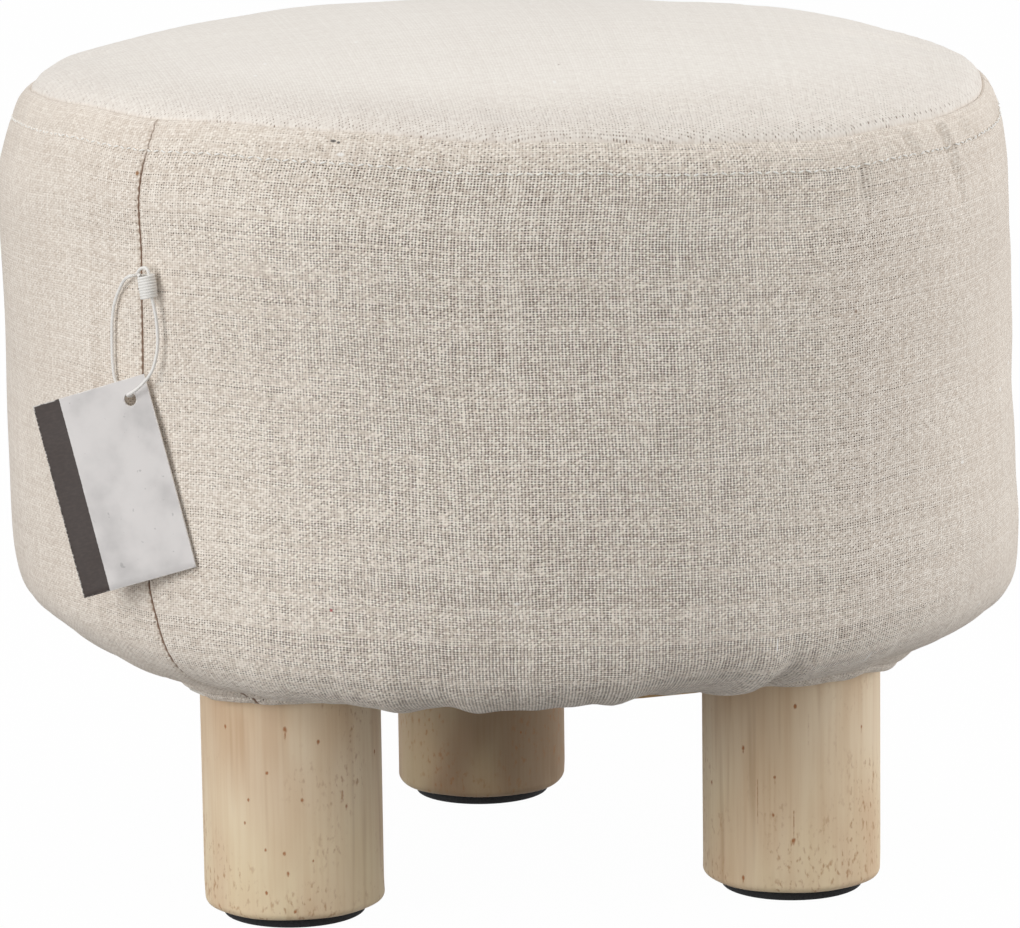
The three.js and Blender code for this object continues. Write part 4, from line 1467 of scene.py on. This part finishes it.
@dataclass
class Settling:
    """Lets cloth under pressure settle over the cushion's form, and reads how far it moved."""

    cover: Cover
    voxel: float = 6 * MM
    pressure: float = 4.0
    stiffness: float = 30.0
    bending: float = 2.0
    neighbours: int = 6
    swelling_share: float = 0.85
    least_hold: float = 0.15
    frames: int = 20
    columns: int = 96
    wall_middle: float = 0.16
    wall_half: float = 0.05
    pin_width: float = 4 * MM
    seam_inner: float = 0.12
    low_height: float = 0.080
    low_radius: float = 0.13
    most: float = 3 * MM
    start_inset: float = 1.5 * MM

    def field(self) -> Callable:
        """Runs the simulation.

        Returns:
            A function that moves points by the cloth's offset times a weight.
        """
        offsets, places = self._simulate()
        tree = KDTree(len(places))
        for index, place in enumerate(places):
            tree.insert(place, index)
        tree.balance()

        def settle(points: Array, weight: Array) -> Array:
            """Moves points by the mean offset of the cloth's nearest points."""
            flat = points.reshape(-1, 3)
            moved = np.empty_like(flat)
            for index, point in enumerate(flat):
                found = tree.find_n(point, self.neighbours)
                nearness = np.array([1.0 / (distance + 1 * MM) for _, _, distance in found])
                chosen = [number for _, number, _ in found]
                moved[index] = nearness @ offsets[chosen] / nearness.sum()
            return points + moved.reshape(points.shape) * weight[..., None]

        return settle

    def _simulate(self) -> tuple[Array, Array]:
        """Inflates a remeshed copy of the form, held at its seams and underside.

        Returns:
            Each point's offset, less the mean swelling, and its place at rest.
        """
        cover = self.cover
        angle = np.full((sum(cover.row_counts()), 1), 0.0)
        radius, height = cover.side_outline(angle)
        first = sum(cover.row_counts()[:2])
        last = -cover.row_counts()[-1]
        side = np.stack([radius[first:last, 0], height[first:last, 0]], -1)
        sweep = np.linspace(math.radians(88.0), 0.0, 24)
        crown = np.stack([
            cover.seam_radius * np.sin(sweep) ** cover.crown_power,
            cover.seam_height + cover.crown * np.cos(sweep) ** cover.crown_power,
        ], -1)
        profile = np.concatenate([[[0.0, side[-1, 1]]], side[::-1], crown[:-1], [[0.0, crown[-1, 1]]]])
        profile[1:-1, 0] -= self.start_inset
        points, faces = revolve(profile, self.columns)
        piece = add_piece("settling_form", points, faces)
        remesh = piece.modifiers.new("remesh", "REMESH")
        remesh.mode = "VOXEL"
        remesh.voxel_size = self.voxel
        bpy.context.view_layer.objects.active = piece
        piece.select_set(True)
        bpy.ops.object.modifier_apply(modifier=remesh.name)
        rest = read_points(piece.data)
        self._pin(piece, rest)
        cloth = piece.modifiers.new("cloth", "CLOTH")
        cloth.settings.use_pressure = True
        cloth.settings.uniform_pressure_force = self.pressure
        cloth.settings.effector_weights.gravity = 0.0
        cloth.settings.vertex_group_mass = "held"
        cloth.settings.tension_stiffness = self.stiffness
        cloth.settings.compression_stiffness = self.stiffness
        cloth.settings.bending_stiffness = self.bending
        cloth.point_cache.frame_start = 1
        cloth.point_cache.frame_end = self.frames
        scene = bpy.context.scene
        for number in range(1, self.frames + 1):
            scene.frame_set(number)
        settled = piece.evaluated_get(bpy.context.evaluated_depsgraph_get())
        offset = read_points(settled.data) - rest
        scene.frame_set(1)
        bpy.data.objects.remove(piece, do_unlink=True)
        length = np.linalg.norm(offset, axis=1, keepdims=True)
        LOG.info("settled cloth: mean offset %.5f, most %.5f", length.mean(), length.max())
        offset = offset * np.minimum(1.0, self.most / np.maximum(length, TINY))
        outward = unit(rest * np.array([1.0, 1.0, 0.0]))
        swelling = (offset * outward).sum(axis=1, keepdims=True)
        wall = np.abs(rest[:, 2:] - self.wall_middle) < self.wall_half
        mean = (swelling * wall).sum() / max(wall.sum(), 1)
        return offset - outward * mean * self.swelling_share, rest

    def _pin(self, piece: Piece, rest: Array) -> None:
        """Holds the cloth at the edge seam, the upright seams and the underside."""
        cover = self.cover
        angle = np.arctan2(rest[:, 1], rest[:, 0])
        radius = np.hypot(rest[:, 0], rest[:, 1])
        above = rest[:, 2] - cover.seam_height - cover.seam_rise(angle)
        seam = bell(above, self.pin_width) * (radius > self.seam_inner)
        held = np.maximum(seam, (rest[:, 2] < self.low_height) & (radius < self.low_radius))
        for degrees in cover.seam_angles:
            arc = turned(angle, degrees) * radius
            held = np.maximum(held, bell(arc, self.pin_width) * (rest[:, 2] < cover.seam_height))
        group = piece.vertex_groups.new(name="held")
        for index in np.nonzero(held > self.least_hold)[0]:
            group.add([int(index)], float(min(held[index], 1.0)), "REPLACE")


@dataclass(frozen=True)
class Speck:
    """A brown speck in the wood: its angle in degrees, and its height, size and tail in mm."""

    angle: float
    height: float
    size: float
    tail: float


@dataclass
class Legs:
    """Three round wooden legs and their dark floor pads."""

    edge: float = 2.4 * MM
    bolt_bore: float = 4.3 * MM
    bore_depth: float = 32 * MM
    columns: int = 400
    wall_rows: int = 200
    pad_columns: int = 160
    specks: tuple = (
        (
            Speck(-142, 60.5, 0.85, 2.0), Speck(-100, 61, 1.15, 6),
            Speck(-79, 57, 0.9, 2.0), Speck(-112, 48, 0.8, 1.5),
            Speck(-125, 39.5, 0.75, 1.0), Speck(-90, 40, 0.9, 1.5),
            Speck(-60, 36.5, 0.8, 2.5), Speck(-128, 32.5, 0.7, 0.5),
            Speck(-114, 25, 0.7, 1.0), Speck(-102, 24, 0.9, 1.0),
            Speck(-100, 18, 0.9, 2.0), Speck(-114, 12, 0.85, 0.5),
            Speck(-96, 6.5, 0.9, 0.5), Speck(-84, 21.5, 0.6, 0.5),
            Speck(-30, 50, 0.9, 3), Speck(20, 30, 1.0, 2),
            Speck(75, 56, 0.9, 4), Speck(130, 21, 0.8, 1),
        ),
        (
            Speck(-123.5, 38, 0.65, 27), Speck(-90.4, 58, 0.6, 21),
            Speck(-99.7, 29, 0.7, 19), Speck(-100, 20, 1.1, 3.0),
            Speck(-133.5, 47, 1.0, 3.0), Speck(-134, 7.5, 1.0, 3.0),
            Speck(-164, 34, 0.9, 2.0), Speck(-98.8, 60.5, 1.0, 1.5),
            Speck(-112, 39, 0.7, 4.0), Speck(-113, 27.5, 0.7, 1.5),
            Speck(-50, 52, 0.7, 5.0), Speck(0, 30, 0.9, 2),
            Speck(60, 52, 0.8, 2), Speck(120, 25, 1.0, 3),
            Speck(175, 45, 0.8, 1),
        ),
        (
            Speck(-92, 59, 0.8, 1.0), Speck(-120, 35, 0.6, 1.0),
            Speck(-70, 24, 0.6, 1.5), Speck(10, 45, 0.9, 2),
            Speck(80, 30, 0.9, 4), Speck(150, 55, 0.8, 1),
        ),
    )

    def leg_profile(self, radius: float, foot: float, top: float) -> Array:
        """A leg's outline: rounded foot edge, straight side, small top chamfer and bolt bore."""
        sweep = np.radians(np.linspace(0.0, 90.0, 10))
        rounding = np.stack([
            radius - self.edge + self.edge * np.sin(sweep), foot + self.edge - self.edge * np.cos(sweep),
        ], -1)
        inner = np.stack([np.linspace(0.0, radius - self.edge, 9)[:-1], np.full(8, foot)], -1)
        wall_heights = np.linspace(foot + self.edge, top - 1 * MM, self.wall_rows)[1:]
        wall = np.stack([np.full(len(wall_heights), radius), wall_heights], -1)
        head = [[radius - 0.4 * MM, top - 0.2 * MM], [radius - 1 * MM, top], [self.bolt_bore, top]]
        bore = [[self.bolt_bore, top - self.bore_depth], [0.0, top - self.bore_depth]]
        return np.concatenate([inner, rounding, wall, head, bore])

    def pad_profile(self, radius: float, thickness: float) -> Array:
        """A pad's outline: flat below, with soft edges."""
        soft = 0.7 * MM
        sweep = np.radians(np.linspace(0.0, 90.0, 6))
        low = np.stack([radius - soft + soft * np.sin(sweep), soft - soft * np.cos(sweep)], -1)
        high = np.stack([
            radius - soft + soft * np.cos(sweep), thickness - soft + soft * np.sin(sweep),
        ], -1)
        inner = np.stack([np.linspace(0.0, radius - soft, 12)[:-1], np.zeros(11)], -1)
        cover = np.stack([np.linspace(radius - soft, 0.0, 12)[1:], np.full(11, thickness)], -1)
        return np.concatenate([inner, low, high, cover])

    def build(self, woods: Sequence[Material], felt: Material) -> None:
        """Builds each leg and pad where its CAD node stands."""
        for number, wood in enumerate(woods, start=1):
            low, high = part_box(f"leg_{number}")
            centre = ((low[0] + high[0]) / 2, (low[1] + high[1]) / 2)
            radius = (high[0] - low[0]) / 2
            points, faces = revolve(self.leg_profile(radius, low[2], high[2]), self.columns, centre)
            points = self._hand_sanded(points, centre, low[2], number)
            leg = add_piece(f"wooden_leg_{number}", points, faces)
            add_values(leg, "speck", self._marks(points, centre, radius, self.specks[number - 1]))
            dress(leg, wood, Body.STOOL, Slot.PINE, f"leg_{number}")
            pad_low, pad_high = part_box(f"foot_pad_{number}")
            profile = self.pad_profile((pad_high[0] - pad_low[0]) / 2, pad_high[2] - pad_low[2])
            points, faces = revolve(profile, self.pad_columns, centre)
            pad = add_piece(f"floor_pad_{number}", points, faces)
            dress(pad, felt, Body.STOOL, Slot.FELT, f"foot_pad_{number}")

    @staticmethod
    def _marks(points: Array, centre: tuple, radius: float, specks: Sequence[Speck]) -> Array:
        """How strongly each point is marked by a speck: a bell round it, and a fading tail below.

        Args:
            points: the leg's points.
            centre: the leg's axis.
            radius: the leg's radius.
            specks: the leg's specks.

        Returns:
            Strengths from 0 to 1.
        """
        angle = np.arctan2(points[:, 1] - centre[1], points[:, 0] - centre[0])
        total = np.zeros(len(points))
        for speck in specks:
            side = turned(angle, speck.angle) * radius / MM
            below = speck.height - points[:, 2] / MM
            head = 0.5 if speck.tail > 10 else 1.0
            spot = head * bell(side, 0.62 * speck.size) * bell(below, speck.size)
            fading = (below > 0) * smooth(speck.tail, 0.3 * speck.tail, below)
            trail = bell(side, 0.45 * speck.size) * fading
            total = np.maximum(total, np.maximum(spot, 0.7 * trail))
        return total

    def _hand_sanded(self, points: Array, centre: tuple, foot: float, number: int) -> Array:
        """Gives the foot edge its slightly uneven rounding: two waves round the leg."""
        dx = points[:, 0] - centre[0]
        dy = points[:, 1] - centre[1]
        angle = np.arctan2(dy, dx)
        radius = np.hypot(dx, dy)
        edge = smooth(foot + 7 * MM, foot, points[:, 2]) * smooth(0.018, 0.026, radius)
        uneven = 0.25 * np.cos(3 * angle + number) + 0.2 * np.cos(7 * angle + 2 * number) - 0.1
        scale = 1.0 + edge * uneven * MM / np.maximum(radius, 1 * MM)
        moved = points.copy()
        moved[:, 0] = centre[0] + dx * scale
        moved[:, 1] = centre[1] + dy * scale
        return moved


@dataclass
class SwingTag:
    """The swing tag: a punched card on a loop of white elastic cord with a barrel knot.

    Places on the cord are [right, out, up] from the cord's exit, seen from outside, in mm.
    """

    exit_radius: float = 0.150
    exit_angle: float = math.radians(-142.5)
    exit_height: float = 0.1992
    cord_diameter: float = 0.95 * MM
    width: float = 36 * MM
    length: float = 56 * MM
    thickness: float = 0.5 * MM
    hole_radius: float = 1.85 * MM
    hole_from_side: float = 6.2 * MM
    hole_from_top: float = 5.8 * MM
    hole_place: tuple = (-1.3, 4.35, -34.9)
    yaw: float = 22.9
    pitch: float = 6.2
    lean: float = 17.9
    band_share: float = 0.235
    knot_top: tuple = (5.3, 3.25, 0.95)
    knot_foot: tuple = (6.3, 3.25, -5.25)
    knot_diameter: float = 5.2 * MM
    wrap_diameter: float = 0.84 * MM
    wrap_turns: float = 8.0
    samples: int = 420
    sides: int = 12
    card_columns: int = 192
    card_rings: int = 30
    route: tuple = (
        (1.1, 0.4, 0), (1.1, 1.4, 0), (1.35, 2.5, 0.45), (2.1, 3.25, 1.5), (3.5, 3.3, 2.6),
        (5.1, 3.25, 2.9), (6.2, 3.25, 2.2), (6.52, 3.25, 0.9), (7, 3.25, -2.1), (7.5, 3.25, -5.2),
        (8.05, 3, -8.2), (8.5, 2.7, -11.8), (8.6, 2.5, -17.6), (8, 2.8, -22.2), (6.9, 3.6, -26.2),
        (5, 4.9, -29.3), (2.4, 6.3, -31.9), (0.3, 6.7, -33.1), (-0.85, 5.4, -33.7),
        (-1.65, 3.5, -33.95), (-2.9, 2.1, -34.2), (-5.4, 1.5, -34.3), (-8.4, 1.5, -33.5),
        (-10.6, 1.5, -31.2), (-11.5, 1.4, -27.4), (-11.7, 1.4, -21.4), (-11.4, 1.4, -14.6),
        (-10.3, 1.4, -9.3), (-8.1, 1.5, -5.1), (-5.4, 2.1, -2.2), (-3.1, 2.75, -0.7),
        (-1.6, 2.35, -0.1), (-1.1, 1.4, 0), (-1.1, 0.4, 0),
    )

    def place(self, points: Array) -> Array:
        """Points in the row frame from [right, out, up] points in mm."""
        turn = self.exit_angle + math.pi / 2
        right = np.array([math.cos(turn), math.sin(turn), 0.0])
        out = np.array([math.cos(self.exit_angle), math.sin(self.exit_angle), 0.0])
        start = out * self.exit_radius + np.array([0.0, 0.0, self.exit_height])
        local = np.asarray(points, dtype=float) * MM
        return start + local[..., :1] * right + local[..., 1:2] * out + local[..., 2:] * UP

    def build_cord(self, material: Material) -> tuple[Piece, Array]:
        """Builds the loop of cord along its route."""
        path = spline(self.place(np.array(self.route)), self.samples)
        points, faces, uv = tube(path, np.full(len(path), self.cord_diameter / 2), self.sides)
        cord = add_piece("tag_loop", points, faces)
        add_uv(cord, "cord", uv)
        return dress(cord, material, Body.STRING, Slot.ELASTIC, "tag_cord"), path

    def build_knot(self, material: Material) -> Piece:
        """Builds the barrel knot: a tight helix round the strands, with a strand across its head."""
        top, foot = self.place(np.array([self.knot_top, self.knot_foot]))
        axis = unit(top - foot)
        side = unit(np.cross(axis, [0.0, 1.0, 0.0]))
        front = np.cross(axis, side)
        radius = (self.knot_diameter - self.wrap_diameter) / 2
        turns = np.linspace(0.0, self.wrap_turns, int(self.wrap_turns * 40))
        phase = math.tau * turns
        rise = (turns / self.wrap_turns - 0.5)[:, None] * np.linalg.norm(top - foot) * axis
        swell = 1.0 + 0.03 * np.cos(math.tau * turns / self.wrap_turns + 2.8)
        ring = side * np.cos(phase)[:, None] + front * np.sin(phase)[:, None]
        path = (top + foot) / 2 + rise + ring * (radius * swell)[:, None]
        head = path[-1] + np.array([[0.4, 0.0, 0.5], [1.0, -0.2, 0.6]]) * MM * 0.6
        path = np.concatenate([path, head])
        points, faces, uv = tube(path, np.full(len(path), self.wrap_diameter / 2), self.sides)
        knot = add_piece("barrel_knot", points, faces)
        add_uv(knot, "cord", uv)
        return dress(knot, material, Body.STRING, Slot.ELASTIC, "tag_knot")

    def card_axes(self) -> tuple[Array, Array]:
        """The card's hole in the row frame, and its right, up and outward directions as columns."""
        turn = Matrix.Rotation(self.exit_angle + math.pi / 2 + math.radians(self.yaw), 3, "Z")
        stand = Matrix.Rotation(math.pi / 2 - math.radians(self.pitch), 3, "X")
        swing = Matrix.Rotation(math.radians(self.lean), 3, "Z")
        return self.place(np.array(self.hole_place)), np.array(turn @ stand @ swing)

    def build_card(self, finish: Callable) -> Piece:
        """Builds the card as rings that run from the punched hole out to the cut edge.

        A ring is the hole's circle at share 0 and the card's outline at share 1, mixed between.

        Args:
            finish: makes the card's material from the place of the dark band's edge.

        Returns:
            The piece.
        """
        left = self.hole_from_side - self.width
        foot = self.hole_from_top - self.length
        columns = self.card_columns
        corner_angles = np.arctan2([foot, foot, self.hole_from_top, self.hole_from_top],
                                   [left, self.hole_from_side, self.hole_from_side, left])
        turn = np.sort(np.concatenate([
            corner_angles, np.linspace(-math.pi, math.pi, columns - 4, endpoint=False) + 0.003,
        ]))
        ray = np.stack([np.cos(turn), np.sin(turn)], -1)
        limits = np.where(ray > 0, [self.hole_from_side, self.hole_from_top], [left, foot])
        reach = limits / np.where(np.abs(ray) < TINY, TINY, ray)
        edge = ray * reach.min(axis=1)[:, None]
        hole = ray * self.hole_radius
        share = np.linspace(0.0, 1.0, self.card_rings) ** 1.2
        face = hole[None] + (edge - hole)[None] * share[:, None, None]
        bend = self._bend(face)
        half = self.thickness / 2
        soft = 0.06 * MM
        front = np.concatenate([face, bend[..., None] + half], -1)
        back = np.concatenate([face, bend[..., None] - half], -1)[::-1]
        inward = unit(edge) * soft
        front[-1, :, :2] -= inward
        back[0, :, :2] -= inward
        edge_rows = np.stack([
            np.concatenate([edge, (bend[-1] + half - soft)[:, None]], -1),
            np.concatenate([edge, (bend[-1] - half + soft)[:, None]], -1),
        ])
        grid = np.concatenate([front, edge_rows, back])
        centre, axes = self.card_axes()
        points = grid @ axes.T + centre
        card = add_piece("swing_card", points, [ring_faces(len(grid), columns, True, True)[:, ::-1]])
        add_uv(card, "card", grid[..., :2])
        on_face = np.zeros(grid.shape[:2])
        on_face[:len(front)] = 1.0
        add_values(card, "card_face", on_face)
        rim = np.minimum.reduce([
            grid[..., 0] - left, self.hole_from_side - grid[..., 0],
            grid[..., 1] - foot, self.hole_from_top - grid[..., 1],
            np.hypot(grid[..., 0], grid[..., 1]) - self.hole_radius,
        ])
        add_values(card, "card_rim", rim)
        band_edge = left + self.band_share * self.width
        return dress(card, finish(band_edge), Body.CARD, Slot.CARD, "tag_card")

    def _bend(self, face: Array) -> Array:
        """The card's slight curl: a long shallow bow and one softened corner."""
        x = face[..., 0] / self.width
        y = face[..., 1] / self.length
        return 0.25 * MM * (x * x + 0.8 * y * y) + 0.12 * MM * np.sin(5 * y + 2 * x)

    def build(self, cord_material: Material, card_finish: Callable) -> None:
        cord, path = self.build_cord(cord_material)
        knot = self.build_knot(cord_material)
        card = self.build_card(card_finish)


@dataclass
class Interior:
    """What the cover hides: foam, boards, battens and fasteners."""

    stance: Stance
    cover: Cover
    columns: int = 120
    slack: float = 2.0 * MM
    upper: tuple[float, float] = (0.16, 0.235)
    lower: tuple[float, float] = (0.120, 0.078)

    def build(self) -> None:
        """Gives each inner node its finish, and the two foams their smooth forms."""
        self._build_foam("top_foam", "seat_foam")
        self._build_foam("side_foam", "band_foam")
        even = (1.0, 1.0, 1.0)
        finishes = {
            ("base_board", "top_board"): PlainFinish(
                "plywood", srgb(206, 174, 126), srgb(184, 148, 100), 260.0, (0.12, 1.0, 6.0), 0.7,
            ),
            ("drum_wall",): PlainFinish(
                "hardboard", srgb(150, 116, 80), srgb(120, 90, 60), 600.0, even, 0.75,
            ),
            ("upright_",): PlainFinish(
                "batten_pine", srgb(226, 198, 156), srgb(204, 170, 124), 300.0, (1.0, 1.0, 0.05), 0.6,
            ),
            ("dust_cover",): PlainFinish(
                "nonwoven_cloth", srgb(40, 40, 41), srgb(62, 62, 63), 1600.0, even, 0.95,
            ),
            ("hanger_bolt_", "tee_nut_"): PlainFinish(
                "zinc_steel", srgb(190, 194, 198), srgb(160, 164, 170), 500.0, (1.0, 1.0, 0.2), 0.35,
                relief=0.02 * MM, metal=1.0,
            ),
            ("hem_elastic",): PlainFinish(
                "hem_rubber", srgb(244, 240, 232), srgb(214, 208, 198), 900.0, even, 0.8,
            ),
        }
        for names, finish in finishes.items():
            material = finish.make()
            for name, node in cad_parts.items():
                if name.startswith(names):
                    for index in range(len(node.material_slots)):
                        node.material_slots[index].material = material
                    LOG.info("%s: %s", name, finish.name)

    def _build_foam(self, node: str, name: str) -> None:
        """Builds a foam block as the smooth turned form of its CAD solid, leaning as the cover does.

        Args:
            node: the CAD node that the piece stands for.
            name: the piece's name.
        """
        spots = read_points(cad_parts[node].data)
        outline = np.round(np.stack([np.hypot(spots[:, 0], spots[:, 1]), spots[:, 2]], -1), 5)
        hollow = outline[:, 0].min() if node == "side_foam" else 0.0
        heights, outer = self._outer(outline, hollow + 2 * MM)
        wall = np.stack([outer - self.slack, heights], -1)
        wall[0, 1] += self.slack
        wall[-1, 1] -= self.slack
        profile = np.concatenate([[[hollow, wall[0, 1]]], wall, [[hollow, wall[-1, 1]]]])
        points, faces = revolve(profile, self.columns)
        points = self._eased(points)
        piece = add_piece(name, self.stance.lay(points), faces)
        sponge = PlainFinish(f"{name}_sponge", srgb(240, 234, 206), srgb(216, 208, 176), 900.0, rough=0.95)
        dress(piece, sponge.make(), Body.STOOL, Slot.FOAM, node)

    def _eased(self, points: Array) -> Array:
        """Lowers the foam's upper edge where the edge seam dips, and keeps it clear of the cloth."""
        angle = np.arctan2(points[:, 1], points[:, 0])
        radius = np.hypot(points[:, 0], points[:, 1])
        dip = np.minimum(self.cover.seam_rise(angle), 0.0) - self.slack
        eased = points.copy()
        eased[:, 2] += dip * smooth(*self.upper, points[:, 2]) * smooth(0.02, 0.13, radius)
        eased[:, 2] -= self.slack * smooth(0.20, 0.25, points[:, 2])
        drawn = self.cover.corner_lift(angle) + 1.5 * self.slack
        eased[:, 2] += drawn * smooth(*self.lower, points[:, 2]) * smooth(0.105, 0.135, radius)
        return eased

    @staticmethod
    def _outer(outline: Array, least: float) -> tuple[Array, Array]:
        """The outer points of an outline, by height: the largest radius at each height."""
        heights = np.unique(outline[:, 1])
        outer = np.array([outline[outline[:, 1] == z, 0].max() for z in heights])
        keep = outer > least
        return heights[keep], outer[keep]


def main() -> None:
    """Builds the studio, the tag, the cover, the legs and the interior in order."""
    logging.basicConfig(level=logging.INFO, format="%(name)s: %(message)s")
    scene = bpy.context.scene
    scene.view_settings.view_transform = "Standard"
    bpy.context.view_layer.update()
    studio = Studio()
    studio.add_camera()
    cord_material = CordFinish("white_elastic").make()
    SwingTag().build(cord_material, lambda edge: CardFinish("smudged_card", edge).make())
    side = LinenFinish("linen_side", seam_line=True, marks=(
        Mark(0.5672, -0.0148, 0.55 * MM, 0.75 * MM, srgb(160, 112, 66)),
        Mark(-0.3107, -0.0019, 1.10 * MM, 0.50 * MM, srgb(70, 68, 66)),
        Mark(-0.3090, -0.0023, 0.60 * MM, 0.45 * MM, srgb(52, 50, 50)),
        Mark(-0.3098, -0.1325, 0.55 * MM, 0.50 * MM, srgb(176, 44, 40)),
        Mark(-0.2873, -0.1256, 0.40 * MM, 0.45 * MM, srgb(120, 80, 50), 0.7),
        Mark(-0.2900, -0.1010, 0.50 * MM, 0.55 * MM, srgb(120, 80, 50), 0.7),
        Mark(-0.1330, -0.0180, 0.45 * MM, 0.45 * MM, srgb(60, 44, 34), 0.8),
        Mark(-0.1826, -0.1424, 0.30 * MM, 2.60 * MM, srgb(255, 253, 250), 0.9),
        Mark(-0.1446, -0.1560, 0.30 * MM, 3.20 * MM, srgb(255, 253, 250), 0.9),
    )).make()
    # The top's large stretch weight paints shade towards its front rim.
    top = LinenFinish(
        "linen_top", 0.85 * MM, 0.98 * MM, srgb(251, 246, 238), srgb(221, 211, 201), srgb(104, 76, 52),
        gap_depth=1.4, slackness=0.55, row_share=0.25, stretch_shade=0.55, thread=0.33, thread_spread=0.11,
        body=0.3, diagonal=0.03, relief=0.15 * MM, needle_holes=True,
    ).make()
    thread = PlainFinish("white_thread", srgb(252, 250, 246), srgb(232, 228, 220), 3000.0, rough=0.7).make()
    stance = Stance()
    cover = Cover(stance)
    cover.build(side, top, thread)
    woods = [WoodFinish(f"pine_leg_{number}", 0.37 * number).make() for number in (1, 2)]
    # The third leg gets darker wood colours: painted shade, standing for the deep shade under the seat.
    painted_shade_colours = (srgb(173, 153, 129), srgb(157, 130, 101), srgb(129, 99, 71))
    woods.append(WoodFinish("pine_leg_3", 1.11, *painted_shade_colours).make())
    dark, grey = srgb(22, 22, 24), srgb(46, 46, 47)
    felt = PlainFinish("black_felt", dark, grey, 1800.0, rough=0.95, relief=0.3 * MM)
    Legs().build(woods, felt.make())
    Interior(stance, cover).build()
    studio.add_lamps()
    studio.add_surroundings()


if __name__ == "__main__":
    main()
